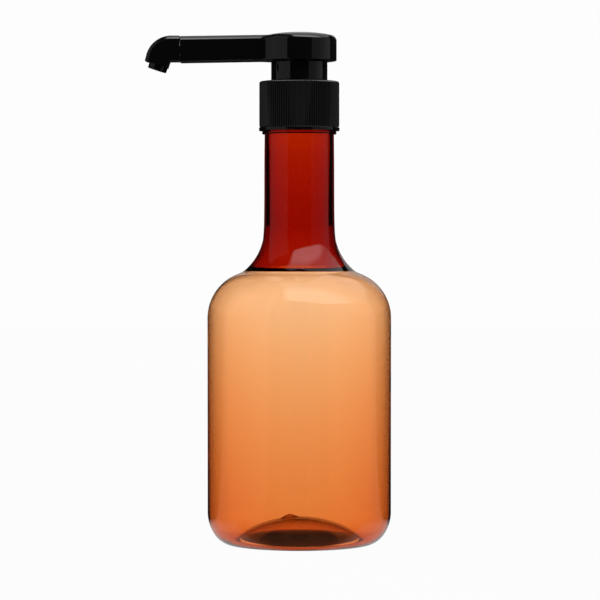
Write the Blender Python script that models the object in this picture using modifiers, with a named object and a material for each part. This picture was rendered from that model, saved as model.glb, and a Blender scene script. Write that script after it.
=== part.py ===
"""Syrup pump bottle: a long-necked amber bottle and a black pump that locks down on a ribbed screw cap.

The bottle is turned. The pump hangs in its neck from a flange: a housing with a ball valve at its foot, a cup
liner that carries the return spring, a stem with a double-lipped piston and a second ball valve, and a head
whose spout arm ends in a separate elbow. All round pieces stand on one axis, which an empty marks.
The origin is in the middle of the outline seen from above, at the height of the standing ring.
"""

import math

import bmesh
import bpy
from mathutils import Matrix, Vector

# Fits, in metres as every size here
FIT_GAP = 0.0003  # between pieces that touch or are pressed together
SLIDE_GAP = 0.0004  # between pieces that move past each other
CUT_OVERRUN = 0.002  # how far a cutter runs past what it cuts
WELD = 0.00001

# Bottle, outside
BOTTLE_HEIGHT = 0.2365
BODY_RADIUS = 0.0480
SHOULDER_HEIGHT = 0.1179  # top of the straight wall
SHOULDER_RADIUS = 0.0246
NECK_TOP_RADIUS = 0.0181
NECK_LOW_RADIUS = 0.0190
FINISH_RADIUS = 0.0176  # the part of the neck inside the cap
BEAD_RADIUS = 0.01945
BEAD_HEIGHT = 0.0015
HEEL_WIDTH = 0.0145
HEEL_HEIGHT = 0.0175
RING_WIDTH = 0.0023  # flat standing ring
PUNT_HEIGHT = 0.0122  # pushed-up base, measured under it
PUNT_SWELL = 1.3  # 1 makes it an oval, more draws it to a point
SHOULDER_START_DEG = 69.0
FLARE_START_DEG = 12.0
FLARE_END_DEG = 50.5
CREASE_RUN = 0.0034  # short straight between flare and shoulder
CREASE_DROP = 0.0017
LIP_ROUND = 0.0006

# Bottle, walls
NECK_WALL = 0.0028
FINISH_WALL = 0.0021
BORE_STEP_DROP = 0.0275  # below the lip
BODY_WALL = 0.0008
BASE_WALL = 0.0022
PUNT_WALL = 0.0011
PUNT_SIDE_WALL = 0.0018

# Cap and its seal
CLOSURE_RADIUS = 0.0209
CLOSURE_HEIGHT = 0.0259
CLOSURE_TOP_WALL = 0.0017
CLOSURE_BORE_RADIUS = 0.0190
CLOSURE_LIP_RADIUS = 0.02105
CLOSURE_LIP_HEIGHT = 0.0018
CLOSURE_CORNER = 0.0012
RIB_COUNT = 100
RIB_DEPTH = 0.00045
BEAD_CLEARANCE = 0.0003  # under the cap's skirt
GASKET_HEIGHT = 0.0012
FLANGE_HEIGHT = 0.0017
FLANGE_RADIUS = 0.0183

# Lock collar
COLLAR_RADIUS = 0.0147
COLLAR_HEIGHT = 0.0100
COLLAR_TOP_WALL = 0.0016
COLLAR_CORNER = 0.0004

# Housing
STROKE = 0.0320
CYLINDER_BORE_RADIUS = 0.0090
CYLINDER_WALL = 0.0012
LEDGE_DROP = 0.0235  # ledge that carries the cup, below the lip
INLET_BALL_RADIUS = 0.0030
INLET_SEAT_RADIUS = 0.0024
SEAT_THICKNESS = 0.0025
VALVE_CHAMBER_RADIUS = 0.0037
BALL_LIFT = 0.0020
CAGE_RADIUS = 0.0057
CAGE_HOLE_RADIUS = 0.0020
CAGE_HEIGHT = 0.0020
CAGE_SLOT_WIDTH = 0.0014
CAGE_SLOT_LENGTH = 0.0090
SOCKET_LENGTH = 0.0120
TAIL_WALL = 0.0013

# Cup, sleeve and spring
CUP_WALL = 0.0010
CUP_FLOOR = 0.0022
SLEEVE_RADIUS = 0.0090
SLEEVE_WALL = 0.0014
SLEEVE_SEAT_DEPTH = 0.0024  # socket under the head
SPRING_RADIUS = 0.0065  # to the middle of the wire
SPRING_WIRE = 0.0011
SPRING_TURNS = 10
WIPER_WIDTH = 0.0011
WIPER_HEIGHT = 0.0020
SPRING_SEAT_HEIGHT = 0.0008
SPRING_SEAT_WIDTH = 0.0018

# Stem and piston
STEM_RADIUS = 0.0040
STEM_BORE_RADIUS = 0.0018
STEM_CHAMBER_RADIUS = 0.0028
STEM_FLANGE_RADIUS = 0.0056
STEM_FLANGE_HEIGHT = 0.0015
STEM_ENTRY = 0.0010  # above the sleeve's socket
PISTON_HEIGHT = 0.0080
PISTON_LIP_HEIGHT = 0.0022
PISTON_WAIST_DEPTH = 0.0012
OUTLET_BALL_RADIUS = 0.0020
OUTLET_SEAT_RADIUS = 0.0016
OUTLET_FLANGE_RADIUS = 0.0070
OUTLET_FLANGE_HEIGHT = 0.0014
OUTLET_SPIGOT_HEIGHT = 0.0040
PISTON_END_GAP = 0.0005  # left at each end of the stroke

# Dip tube
TUBE_RADIUS = 0.0040
TUBE_BORE_RADIUS = 0.0030
TUBE_BASE_CLEARANCE = 0.0022
TUBE_CUT_DEG = 20.0

# Head and spout
HEAD_RADIUS = 0.0195
HEAD_HEIGHT = 0.0143  # to the top of the dome
HEAD_FILLET = 0.0030
HEAD_EDGE = 0.0005
DOME_SAG = 0.0015
FLANK_START_X = 0.0072
FLANK_START_WIDTH = 0.0181
ARM_ROOT_X = 0.0200
ARM_ROOT_WIDTH = 0.0097  # half widths
ARM_END_WIDTH = 0.0068
ARM_HEIGHT = 0.01335
ARM_END_HEIGHT = 0.0135
ARM_DROOP = 0.0009
ARM_ROUND = 0.0030
ARM_EDGE = 0.0008
CHANNEL_RADIUS = 0.0031
CHANNEL_END_X = 0.0030
SPIGOT_RADIUS = 0.0043
SPIGOT_LENGTH = 0.0076

# Elbow
SPOUT_REACH = 0.0805  # from the bottle's axis to the far side of the elbow
ELBOW_HEIGHT = 0.0132
ELBOW_WIDTH = 0.0065
ELBOW_RISE = 0.00045  # over the arm's underside
ELBOW_LEVEL_RUN = 0.0051  # from the seam to the turn
ELBOW_ROUND = 0.0040
ELBOW_INNER_RADIUS = 0.0004
ELBOW_END_HEIGHT = 0.0125
ELBOW_END_RUN = 0.0034
TIP_TILT_DEG = 18.0
TIP_RADIUS = 0.0050
TIP_LENGTH = 0.00265
TIP_BORE_RADIUS = 0.0037
TIP_INSET = 0.00015

# Facets
BOTTLE_SEGMENTS = 40
ROUND_SEGMENTS = 32
SMALL_SEGMENTS = 20
TUBE_SEGMENTS = 16
SPRING_STEPS = 8
SHARP_DEG = 35.0

# Places worked out from the sizes above, z over the table and radii from the bottle's axis
RING_OUTER_RADIUS = BODY_RADIUS - HEEL_WIDTH
RING_INNER_RADIUS = RING_OUTER_RADIUS - RING_WIDTH
GASKET_Z = BOTTLE_HEIGHT + FIT_GAP
FLANGE_Z = GASKET_Z + GASKET_HEIGHT + FIT_GAP
FLANGE_TOP_Z = FLANGE_Z + FLANGE_HEIGHT
CLOSURE_TOP_Z = FLANGE_TOP_Z + FIT_GAP + CLOSURE_TOP_WALL
CLOSURE_Z = CLOSURE_TOP_Z - CLOSURE_HEIGHT
BEAD_TOP_Z = CLOSURE_Z - BEAD_CLEARANCE
BEAD_Z = BEAD_TOP_Z - BEAD_HEIGHT
COLLAR_Z = CLOSURE_TOP_Z + FIT_GAP
COLLAR_TOP_Z = COLLAR_Z + COLLAR_HEIGHT
HEAD_Z = COLLAR_TOP_Z + FIT_GAP
HOUSING_TOP_Z = COLLAR_TOP_Z - COLLAR_TOP_WALL - FIT_GAP

CUP_BORE_RADIUS = SLEEVE_RADIUS + SLIDE_GAP
CUP_RADIUS = CUP_BORE_RADIUS + CUP_WALL
HOUSING_BORE_RADIUS = CUP_RADIUS + FIT_GAP
HOUSING_RADIUS = HOUSING_BORE_RADIUS + CYLINDER_WALL
CYLINDER_RADIUS = CYLINDER_BORE_RADIUS + CYLINDER_WALL
LEDGE_Z = BOTTLE_HEIGHT - LEDGE_DROP
CUP_Z = LEDGE_Z + FIT_GAP
CUP_FLOOR_Z = CUP_Z + CUP_FLOOR
SLEEVE_Z = CUP_FLOOR_Z + FIT_GAP
SLEEVE_TOP_Z = HEAD_Z + SLEEVE_SEAT_DEPTH - FIT_GAP
PISTON_STACK = OUTLET_FLANGE_HEIGHT + FIT_GAP + PISTON_HEIGHT + FIT_GAP + STEM_FLANGE_HEIGHT
BORE_FLOOR_Z = LEDGE_Z - PISTON_STACK - STROKE - 2 * PISTON_END_GAP
SPRING_LOW_Z = CUP_FLOOR_Z + FIT_GAP + SPRING_SEAT_HEIGHT + FIT_GAP
SPRING_HIGH_Z = HEAD_Z + SLEEVE_SEAT_DEPTH - FIT_GAP - SPRING_SEAT_HEIGHT - FIT_GAP


def ball_over_edge(ball_radius, edge_radius):
    """Height of a ball's centre over the round edge that it sits on, with the fit gap between them."""
    return math.sqrt((ball_radius + FIT_GAP) ** 2 - edge_radius**2)


# Outlet valve and piston, upwards from the bottom of the bore
OUTLET_SEAT_Z = BORE_FLOOR_Z + PISTON_END_GAP
STEM_Z = OUTLET_SEAT_Z + OUTLET_FLANGE_HEIGHT + FIT_GAP
OUTLET_SEAT_TOP_Z = STEM_Z + OUTLET_SPIGOT_HEIGHT
OUTLET_BALL_Z = OUTLET_SEAT_TOP_Z + ball_over_edge(OUTLET_BALL_RADIUS, OUTLET_SEAT_RADIUS)
STEM_STOP_Z = OUTLET_BALL_Z + BALL_LIFT + ball_over_edge(OUTLET_BALL_RADIUS, STEM_BORE_RADIUS)
PISTON_TOP_Z = STEM_Z + PISTON_HEIGHT
STEM_FLANGE_Z = PISTON_TOP_Z + FIT_GAP
STEM_TOP_Z = HEAD_Z + SLEEVE_SEAT_DEPTH + STEM_ENTRY

# Inlet valve, downwards from the bottom of the bore
CAGE_RECESS_RADIUS = CAGE_RADIUS + FIT_GAP
BORE_CONE_Z = BORE_FLOOR_Z - (CYLINDER_BORE_RADIUS - CAGE_RECESS_RADIUS)
CAGE_Z = BORE_CONE_Z - CAGE_HEIGHT
CAGE_LEDGE_Z = CAGE_Z - FIT_GAP
INLET_BALL_Z = CAGE_Z - BALL_LIFT - ball_over_edge(INLET_BALL_RADIUS, CAGE_HOLE_RADIUS)
INLET_SEAT_Z = INLET_BALL_Z - ball_over_edge(INLET_BALL_RADIUS, INLET_SEAT_RADIUS)
SOCKET_TOP_Z = INLET_SEAT_Z - SEAT_THICKNESS
SOCKET_Z = SOCKET_TOP_Z - SOCKET_LENGTH
SOCKET_BORE_RADIUS = TUBE_RADIUS + FIT_GAP
SOCKET_RADIUS = SOCKET_BORE_RADIUS + TAIL_WALL
VALVE_RADIUS = CAGE_RECESS_RADIUS + TAIL_WALL

# Spout
TIP_TILT = math.radians(TIP_TILT_DEG)
ELBOW_SWEEP = math.pi / 2 - TIP_TILT
ELBOW_FAR_TURN = (ELBOW_HEIGHT + ELBOW_INNER_RADIUS) * math.cos(TIP_TILT)
ELBOW_FAR_END = (ELBOW_END_HEIGHT + ELBOW_INNER_RADIUS) * math.cos(TIP_TILT)
ELBOW_FAR_END += ELBOW_END_RUN * math.sin(TIP_TILT)
ELBOW_PIVOT_X = SPOUT_REACH - max(ELBOW_FAR_TURN, ELBOW_FAR_END)
SEAM_X = ELBOW_PIVOT_X - ELBOW_LEVEL_RUN
ELBOW_Z = HEAD_Z - ARM_DROOP + ELBOW_RISE
CHANNEL_Z = ELBOW_Z + ELBOW_HEIGHT / 2

# The bottle's axis lies off the middle of the outline, because the spout reaches past the body on one side
AXIS_X = (SPOUT_REACH - BODY_RADIUS) / 2


def clear_scene():
    for thing in list(bpy.data.objects):
        bpy.data.objects.remove(thing, do_unlink=True)


def new_collection(name):
    collection = bpy.data.collections.new(name)
    bpy.context.scene.collection.children.link(collection)
    return collection


def new_material(name, colour, roughness, metallic=0.0, transmission=0.0):
    material = bpy.data.materials.new(name)
    material.use_nodes = True
    shader = material.node_tree.nodes["Principled BSDF"]
    shader.inputs["Base Color"].default_value = (*colour, 1.0)
    shader.inputs["Roughness"].default_value = roughness
    shader.inputs["Metallic"].default_value = metallic
    shader.inputs["Transmission Weight"].default_value = transmission
    material.diffuse_color = (*colour, 1.0)
    return material


def place(kit, mesh, name, material=None):
    """Puts a mesh in the model on the bottle's axis: a piece if it has a material, else a cutter."""
    thing = bpy.data.objects.new(name, mesh)
    thing.parent = kit["axis"]
    if material is None:
        kit["cutters"].objects.link(thing)
        thing.hide_render = True
        thing.display_type = "WIRE"
    else:
        kit["parts"].objects.link(thing)
        mesh.materials.append(kit[material])
    return thing


def arc(centre_radius, centre_z, radius, start_deg, end_deg, steps):
    """Points (radius, z) along a round stretch of a profile. Angle 0 points outwards, 90 points up."""
    points = []
    for step in range(steps + 1):
        angle = math.radians(start_deg + (end_deg - start_deg) * step / steps)
        points.append((centre_radius + radius * math.cos(angle), centre_z + radius * math.sin(angle)))
    return points


def turned(kit, name, profile, material, segments, closed=True):
    """A round piece: its profile runs down the outer side, and a Screw modifier turns it about the axis."""
    mesh = bpy.data.meshes.new(name)
    form = bmesh.new()
    corners = [form.verts.new((radius, 0, z)) for radius, z in profile]
    for one, other in zip(corners, corners[1:]):
        form.edges.new((one, other))
    if closed:
        form.edges.new((corners[-1], corners[0]))
    form.to_mesh(mesh)
    form.free()
    piece = place(kit, mesh, name, material)
    screw = piece.modifiers.new("turn", "SCREW")
    screw.steps = segments
    screw.render_steps = segments
    screw.use_merge_vertices = True
    screw.merge_threshold = WELD
    screw.use_smooth_shade = True
    return piece


def shade(mesh):
    mesh.shade_smooth()
    mesh.set_sharp_from_angle(angle=math.radians(SHARP_DEG))


def cylinder_mesh(name, radius, depth, segments):
    mesh = bpy.data.meshes.new(name)
    form = bmesh.new()
    bmesh.ops.create_cone(
        form, cap_ends=True, segments=segments, radius1=radius, radius2=radius, depth=depth
    )
    form.to_mesh(mesh)
    form.free()
    return mesh


def rod(kit, name, start, end, radius, segments):
    """A cylinder from one point to another, to cut with or to join."""
    way = Vector(end) - Vector(start)
    piece = place(kit, cylinder_mesh(name, radius, way.length, segments), name)
    piece.location = (Vector(start) + Vector(end)) / 2
    piece.rotation_euler = way.to_track_quat("Z", "Y").to_euler()
    return piece


def combine(piece, other, operation):
    step = piece.modifiers.new(other.name, "BOOLEAN")
    step.object = other
    step.operation = operation
    return step


def lofted(kit, name, rings, material=None):
    """A closed skin through rings of points, each ring with as many points as the next."""
    mesh = bpy.data.meshes.new(name)
    form = bmesh.new()
    loops = []
    for ring in rings:
        corners = [form.verts.new(point) for point in ring]
        pairs = zip(corners, corners[1:] + corners[:1])
        loops.append([form.edges.new(pair) for pair in pairs])
    for one, other in zip(loops, loops[1:]):
        bmesh.ops.bridge_loops(form, edges=one + other)
    for end in (loops[0], loops[-1]):
        bmesh.ops.contextual_create(form, geom=end)
    bmesh.ops.recalc_face_normals(form, faces=form.faces)
    form.to_mesh(mesh)
    form.free()
    shade(mesh)
    return place(kit, mesh, name, material)


def rounded_section(half_width, bottom, top, top_round, bottom_round, steps=4):
    """Points (y, z) of a box section with rounded corners, all the way round from its lower right."""
    corners = (
        (half_width - bottom_round, bottom + bottom_round, bottom_round, -90.0),
        (half_width - top_round, top - top_round, top_round, 0.0),
        (top_round - half_width, top - top_round, top_round, 90.0),
        (bottom_round - half_width, bottom + bottom_round, bottom_round, 180.0),
    )
    points = []
    for centre_y, centre_z, radius, start in corners:
        points += arc(centre_y, centre_z, radius, start, start + 90.0, steps)
    return points


def flare_end():
    """Where the neck's flare ends, just above and inside the start of the shoulder."""
    start = math.radians(SHOULDER_START_DEG)
    shoulder_radius = BODY_RADIUS - SHOULDER_RADIUS + SHOULDER_RADIUS * math.cos(start)
    shoulder_z = SHOULDER_HEIGHT + SHOULDER_RADIUS * math.sin(start)
    return shoulder_radius - CREASE_RUN, shoulder_z + CREASE_DROP


def flare_arc():
    """Centre and radius of the hollow curve from the neck out to the crease."""
    end_radius, end_z = flare_end()
    start = math.radians(FLARE_START_DEG)
    end = math.radians(FLARE_END_DEG)
    radius = (end_radius - NECK_LOW_RADIUS) / (math.cos(start) - math.cos(end))
    return end_radius + radius * math.cos(end), end_z + radius * math.sin(end), radius


def neck_line():
    """Points down the neck from under the bead: nearly straight, then swelling into the flare."""
    swell_shares = (0.0, 0.16, 0.21, 0.27, 0.38, 0.60)
    height_shares = (0.0, 0.25, 0.55, 0.72, 0.84, 0.93)
    _, centre_z, flare_radius = flare_arc()
    low_z = centre_z - flare_radius * math.sin(math.radians(FLARE_START_DEG))
    high_z = BEAD_Z - LIP_ROUND
    points = []
    for swell_share, height_share in zip(swell_shares, height_shares):
        radius = NECK_TOP_RADIUS + (NECK_LOW_RADIUS - NECK_TOP_RADIUS) * swell_share
        points.append((radius, high_z + (low_z - high_z) * height_share))
    return points


def punt_line(outer_radius, low_z, height, steps):
    """Half of the pushed-up base, from its steep rim to the level middle."""
    points = []
    for step in range(steps + 1):
        angle = math.pi / 2 * step / steps
        points.append((outer_radius * math.cos(angle), low_z + height * math.sin(angle) ** PUNT_SWELL))
    points[-1] = (0, low_z + height)
    return points


def heel_line(radius, bottom, width, height, steps):
    """Quarter of an oval from the upright wall in to the foot."""
    points = []
    for step in range(steps + 1):
        angle = math.pi / 2 * step / steps
        points.append((radius - width + width * math.cos(angle), bottom + height - height * math.sin(angle)))
    return points


def bottle_profile():
    centre_radius, centre_z, flare_radius = flare_arc()
    neck = neck_line()
    shoulder_centre = BODY_RADIUS - SHOULDER_RADIUS
    outside = [
        (FINISH_RADIUS - LIP_ROUND, BOTTLE_HEIGHT),
        (FINISH_RADIUS, BOTTLE_HEIGHT - LIP_ROUND),
        (FINISH_RADIUS, BEAD_TOP_Z),
        (BEAD_RADIUS - LIP_ROUND, BEAD_TOP_Z),
        (BEAD_RADIUS, BEAD_TOP_Z - LIP_ROUND),
        (BEAD_RADIUS, BEAD_Z + LIP_ROUND),
        (BEAD_RADIUS - LIP_ROUND, BEAD_Z),
        (NECK_TOP_RADIUS, BEAD_Z),
    ]
    outside += neck
    outside += arc(centre_radius, centre_z, -flare_radius, FLARE_START_DEG, FLARE_END_DEG, 5)
    outside += arc(shoulder_centre, SHOULDER_HEIGHT, SHOULDER_RADIUS, SHOULDER_START_DEG, 0.0, 7)
    outside += heel_line(BODY_RADIUS, 0, HEEL_WIDTH, HEEL_HEIGHT, 6)
    outside += punt_line(RING_INNER_RADIUS, 0, PUNT_HEIGHT, 6)

    inner_body = BODY_RADIUS - BODY_WALL
    inner_heel = HEEL_WIDTH - BODY_WALL
    inner_punt = PUNT_HEIGHT + PUNT_WALL - BASE_WALL
    inside = punt_line(RING_INNER_RADIUS + PUNT_SIDE_WALL, BASE_WALL, inner_punt, 6)[::-1]
    inside += heel_line(inner_body, BASE_WALL, inner_heel, HEEL_HEIGHT - BASE_WALL, 5)[::-1]
    inner_shoulder = SHOULDER_RADIUS - BODY_WALL
    inside += arc(shoulder_centre, SHOULDER_HEIGHT, inner_shoulder, 0.0, SHOULDER_START_DEG, 6)
    inside += arc(centre_radius, centre_z, -flare_radius - NECK_WALL, FLARE_END_DEG, FLARE_START_DEG, 4)
    for radius, z in reversed(neck):
        if z < BOTTLE_HEIGHT - BORE_STEP_DROP:
            inside.append((radius - NECK_WALL, z))
    step_radius = NECK_TOP_RADIUS - NECK_WALL
    finish_bore = FINISH_RADIUS - FINISH_WALL
    inside.append((step_radius, BOTTLE_HEIGHT - BORE_STEP_DROP))
    inside.append((finish_bore, BOTTLE_HEIGHT - BORE_STEP_DROP + LIP_ROUND))
    inside.append((finish_bore, BOTTLE_HEIGHT - LIP_ROUND))
    inside.append((finish_bore + LIP_ROUND, BOTTLE_HEIGHT))
    return outside + inside


def make_bottle(kit):
    return turned(kit, "bottle", bottle_profile(), "amber", BOTTLE_SEGMENTS)


def make_gasket(kit):
    inner = HOUSING_RADIUS + FIT_GAP
    profile = [
        (FLANGE_RADIUS, GASKET_Z + GASKET_HEIGHT),
        (FLANGE_RADIUS, GASKET_Z),
        (inner, GASKET_Z),
        (inner, GASKET_Z + GASKET_HEIGHT),
    ]
    return turned(kit, "neck_gasket", profile, "seal", ROUND_SEGMENTS)


def rib_band(kit):
    """The ribbed skirt of the cap: an outline of V ribs round a plain hole, extruded."""
    root_radius = CLOSURE_RADIUS - RIB_DEPTH
    low = CLOSURE_Z + CLOSURE_LIP_HEIGHT
    high = CLOSURE_TOP_Z - CLOSURE_CORNER / 2
    outline = []
    for point in range(2 * RIB_COUNT):
        angle = math.pi * point / RIB_COUNT
        radius = CLOSURE_RADIUS if point % 2 == 0 else root_radius
        outline.append((radius * math.cos(angle), radius * math.sin(angle)))
    hole = []
    hole_radius = (CLOSURE_BORE_RADIUS + root_radius) / 2
    for point in range(BOTTLE_SEGMENTS):
        angle = 2 * math.pi * point / BOTTLE_SEGMENTS
        hole.append((hole_radius * math.cos(angle), hole_radius * math.sin(angle)))
    curve = bpy.data.curves.new("rib_band", "CURVE")
    curve.dimensions = "2D"
    curve.fill_mode = "BOTH"
    curve.extrude = (high - low) / 2
    for points in (outline, hole):
        spline = curve.splines.new("POLY")
        spline.points.add(len(points) - 1)
        for place_in_line, (x, y) in zip(spline.points, points):
            place_in_line.co = (x, y, 0, 1)
        spline.use_cyclic_u = True
    flat = bpy.data.objects.new("rib_band_outline", curve)
    kit["cutters"].objects.link(flat)
    bpy.context.view_layer.update()
    mesh = bpy.data.meshes.new_from_object(flat.evaluated_get(bpy.context.evaluated_depsgraph_get()))
    bpy.data.objects.remove(flat, do_unlink=True)
    form = bmesh.new()
    form.from_mesh(mesh)
    bmesh.ops.remove_doubles(form, verts=form.verts, dist=WELD)
    bmesh.ops.recalc_face_normals(form, faces=form.faces)
    bmesh.ops.translate(form, verts=form.verts, vec=(0, 0, (high + low) / 2))
    form.to_mesh(mesh)
    form.free()
    mesh.materials.clear()
    return place(kit, mesh, "rib_band")


def make_closure(kit):
    """Screw cap: a plain cup with a hole in its top for the housing, joined to the ribbed band."""
    core_radius = (CLOSURE_BORE_RADIUS + 3 * (CLOSURE_RADIUS - RIB_DEPTH)) / 4
    hole_radius = HOUSING_RADIUS + SLIDE_GAP
    under_top = CLOSURE_TOP_Z - CLOSURE_TOP_WALL
    lip_top = CLOSURE_Z + CLOSURE_LIP_HEIGHT
    corner_radius = CLOSURE_RADIUS - CLOSURE_CORNER
    profile = [(hole_radius, CLOSURE_TOP_Z)]
    profile += arc(corner_radius, CLOSURE_TOP_Z - CLOSURE_CORNER, CLOSURE_CORNER, 90.0, 30.0, 2)
    profile += [
        (core_radius, CLOSURE_TOP_Z - CLOSURE_CORNER),
        (core_radius, lip_top - RIB_DEPTH),
        (CLOSURE_LIP_RADIUS, lip_top - RIB_DEPTH),
        (CLOSURE_LIP_RADIUS, CLOSURE_Z),
        (CLOSURE_BORE_RADIUS, CLOSURE_Z),
        (CLOSURE_BORE_RADIUS, under_top),
        (hole_radius, under_top),
    ]
    cap = turned(kit, "closure", profile, "black", BOTTLE_SEGMENTS)
    combine(cap, rib_band(kit), "UNION")
    return cap


def make_housing(kit):
    """Flanged cylinder with the inlet valve's chamber and the tube socket at its foot."""
    shoulder_z = LEDGE_Z - CYLINDER_WALL
    taper_z = BORE_CONE_Z - (CYLINDER_RADIUS - VALVE_RADIUS) / 2
    valve_low_z = INLET_SEAT_Z
    profile = [
        (HOUSING_RADIUS, HOUSING_TOP_Z),
        (HOUSING_RADIUS, FLANGE_TOP_Z),
        (FLANGE_RADIUS, FLANGE_TOP_Z),
        (FLANGE_RADIUS, FLANGE_Z),
        (HOUSING_RADIUS, FLANGE_Z),
        (HOUSING_RADIUS, shoulder_z),
        (CYLINDER_RADIUS, shoulder_z - (HOUSING_RADIUS - CYLINDER_RADIUS)),
        (CYLINDER_RADIUS, BORE_FLOOR_Z),
        (VALVE_RADIUS, taper_z),
        (VALVE_RADIUS, CAGE_LEDGE_Z - TAIL_WALL),
        (SOCKET_RADIUS, valve_low_z),
        (SOCKET_RADIUS, SOCKET_Z),
        (SOCKET_BORE_RADIUS, SOCKET_Z),
        (SOCKET_BORE_RADIUS, SOCKET_TOP_Z),
        (INLET_SEAT_RADIUS, SOCKET_TOP_Z),
        (INLET_SEAT_RADIUS, INLET_SEAT_Z),
        (VALVE_CHAMBER_RADIUS, INLET_SEAT_Z),
        (VALVE_CHAMBER_RADIUS, CAGE_LEDGE_Z),
        (CAGE_RECESS_RADIUS, CAGE_LEDGE_Z),
        (CAGE_RECESS_RADIUS, BORE_CONE_Z),
        (CYLINDER_BORE_RADIUS, BORE_FLOOR_Z),
        (CYLINDER_BORE_RADIUS, LEDGE_Z),
        (HOUSING_BORE_RADIUS, LEDGE_Z),
        (HOUSING_BORE_RADIUS, HOUSING_TOP_Z),
    ]
    return turned(kit, "pump_housing", profile, "natural", ROUND_SEGMENTS)


def make_spring_cup(kit):
    stem_hole = STEM_RADIUS + SLIDE_GAP
    profile = [
        (CUP_RADIUS, HOUSING_TOP_Z),
        (CUP_RADIUS, CUP_Z),
        (stem_hole, CUP_Z),
        (stem_hole, CUP_FLOOR_Z),
        (CUP_BORE_RADIUS, CUP_FLOOR_Z),
        (CUP_BORE_RADIUS, HOUSING_TOP_Z),
    ]
    return turned(kit, "spring_cup", profile, "natural", ROUND_SEGMENTS)


def make_stem_wiper(kit):
    inner = STEM_RADIUS + FIT_GAP
    low = CUP_FLOOR_Z + FIT_GAP
    profile = [
        (inner + WIPER_WIDTH, low + WIPER_HEIGHT / 2),
        (inner + WIPER_WIDTH, low),
        (inner, low),
        (inner, low + WIPER_HEIGHT),
        (inner + WIPER_WIDTH / 2, low + WIPER_HEIGHT),
    ]
    return turned(kit, "stem_wiper", profile, "seal", SMALL_SEGMENTS)


def make_lock_collar(kit):
    """Snaps over the top of the housing, holds the cap down on the flange and guides the sleeve."""
    bore = HOUSING_RADIUS + FIT_GAP
    hole = SLEEVE_RADIUS + SLIDE_GAP
    under_top = COLLAR_TOP_Z - COLLAR_TOP_WALL
    profile = [
        (hole, COLLAR_TOP_Z),
        (COLLAR_RADIUS - COLLAR_CORNER, COLLAR_TOP_Z),
        (COLLAR_RADIUS, COLLAR_TOP_Z - COLLAR_CORNER),
        (COLLAR_RADIUS, COLLAR_Z),
        (bore, COLLAR_Z),
        (bore, under_top),
        (hole, under_top),
    ]
    return turned(kit, "lock_collar", profile, "black", ROUND_SEGMENTS)


def make_spring_sleeve(kit):
    profile = [
        (SLEEVE_RADIUS, SLEEVE_TOP_Z),
        (SLEEVE_RADIUS, SLEEVE_Z + SLEEVE_WALL / 2),
        (SLEEVE_RADIUS - SLEEVE_WALL / 2, SLEEVE_Z),
        (SLEEVE_RADIUS - SLEEVE_WALL, SLEEVE_Z),
        (SLEEVE_RADIUS - SLEEVE_WALL, SLEEVE_TOP_Z),
    ]
    return turned(kit, "spring_sleeve", profile, "black", ROUND_SEGMENTS)


def spring_points():
    """The wire's middle line: an even helix whose ends turn upright, square to the faces they press on."""
    coil_low = SPRING_LOW_Z + SPRING_WIRE
    coil_high = SPRING_HIGH_Z - SPRING_WIRE
    count = SPRING_TURNS * SPRING_STEPS
    points = [Vector((SPRING_RADIUS, 0, SPRING_LOW_Z))]
    for step in range(count + 1):
        angle = 2 * math.pi * step / SPRING_STEPS
        z = coil_low + (coil_high - coil_low) * step / count
        points.append(Vector((SPRING_RADIUS * math.cos(angle), SPRING_RADIUS * math.sin(angle), z)))
    points.append(Vector((SPRING_RADIUS, 0, SPRING_HIGH_Z)))
    return points


def least_gap_to_itself(points, wire):
    """The smallest space between stretches of the wire that lie at least half a turn apart."""
    apart = SPRING_STEPS // 2
    least = min(
        (one - other).length
        for index, one in enumerate(points)
        for other in points[index + apart :]
    )
    return least - wire


def make_return_spring(kit):
    points = spring_points()
    print("return_spring: least gap to itself, in metres", round(least_gap_to_itself(points, SPRING_WIRE), 5))
    curve = bpy.data.curves.new("return_spring", "CURVE")
    curve.dimensions = "3D"
    curve.bevel_depth = SPRING_WIRE / 2
    curve.bevel_resolution = 1
    curve.use_fill_caps = True
    spline = curve.splines.new("POLY")
    spline.points.add(len(points) - 1)
    for knot, point in zip(spline.points, points):
        knot.co = (*point, 1)
    return place(kit, curve, "return_spring", "steel")


def make_spring_seat(kit, name, low):
    """Flat steel ring under one end of the spring."""
    inner = SPRING_RADIUS - SPRING_SEAT_WIDTH / 2
    outer = SPRING_RADIUS + SPRING_SEAT_WIDTH / 2
    high = low + SPRING_SEAT_HEIGHT
    profile = [(outer, high), (outer, low), (inner, low), (inner, high)]
    return turned(kit, name, profile, "steel", SMALL_SEGMENTS)


def make_stem(kit):
    profile = [
        (STEM_RADIUS, STEM_TOP_Z),
        (STEM_RADIUS, STEM_FLANGE_Z + STEM_FLANGE_HEIGHT),
        (STEM_FLANGE_RADIUS, STEM_FLANGE_Z + STEM_FLANGE_HEIGHT),
        (STEM_FLANGE_RADIUS, STEM_FLANGE_Z),
        (STEM_RADIUS, STEM_FLANGE_Z),
        (STEM_RADIUS, STEM_Z),
        (STEM_CHAMBER_RADIUS, STEM_Z),
        (STEM_CHAMBER_RADIUS, STEM_STOP_Z),
        (STEM_BORE_RADIUS, STEM_STOP_Z),
        (STEM_BORE_RADIUS, STEM_TOP_Z),
    ]
    return turned(kit, "plunger_stem", profile, "natural", SMALL_SEGMENTS)


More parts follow.
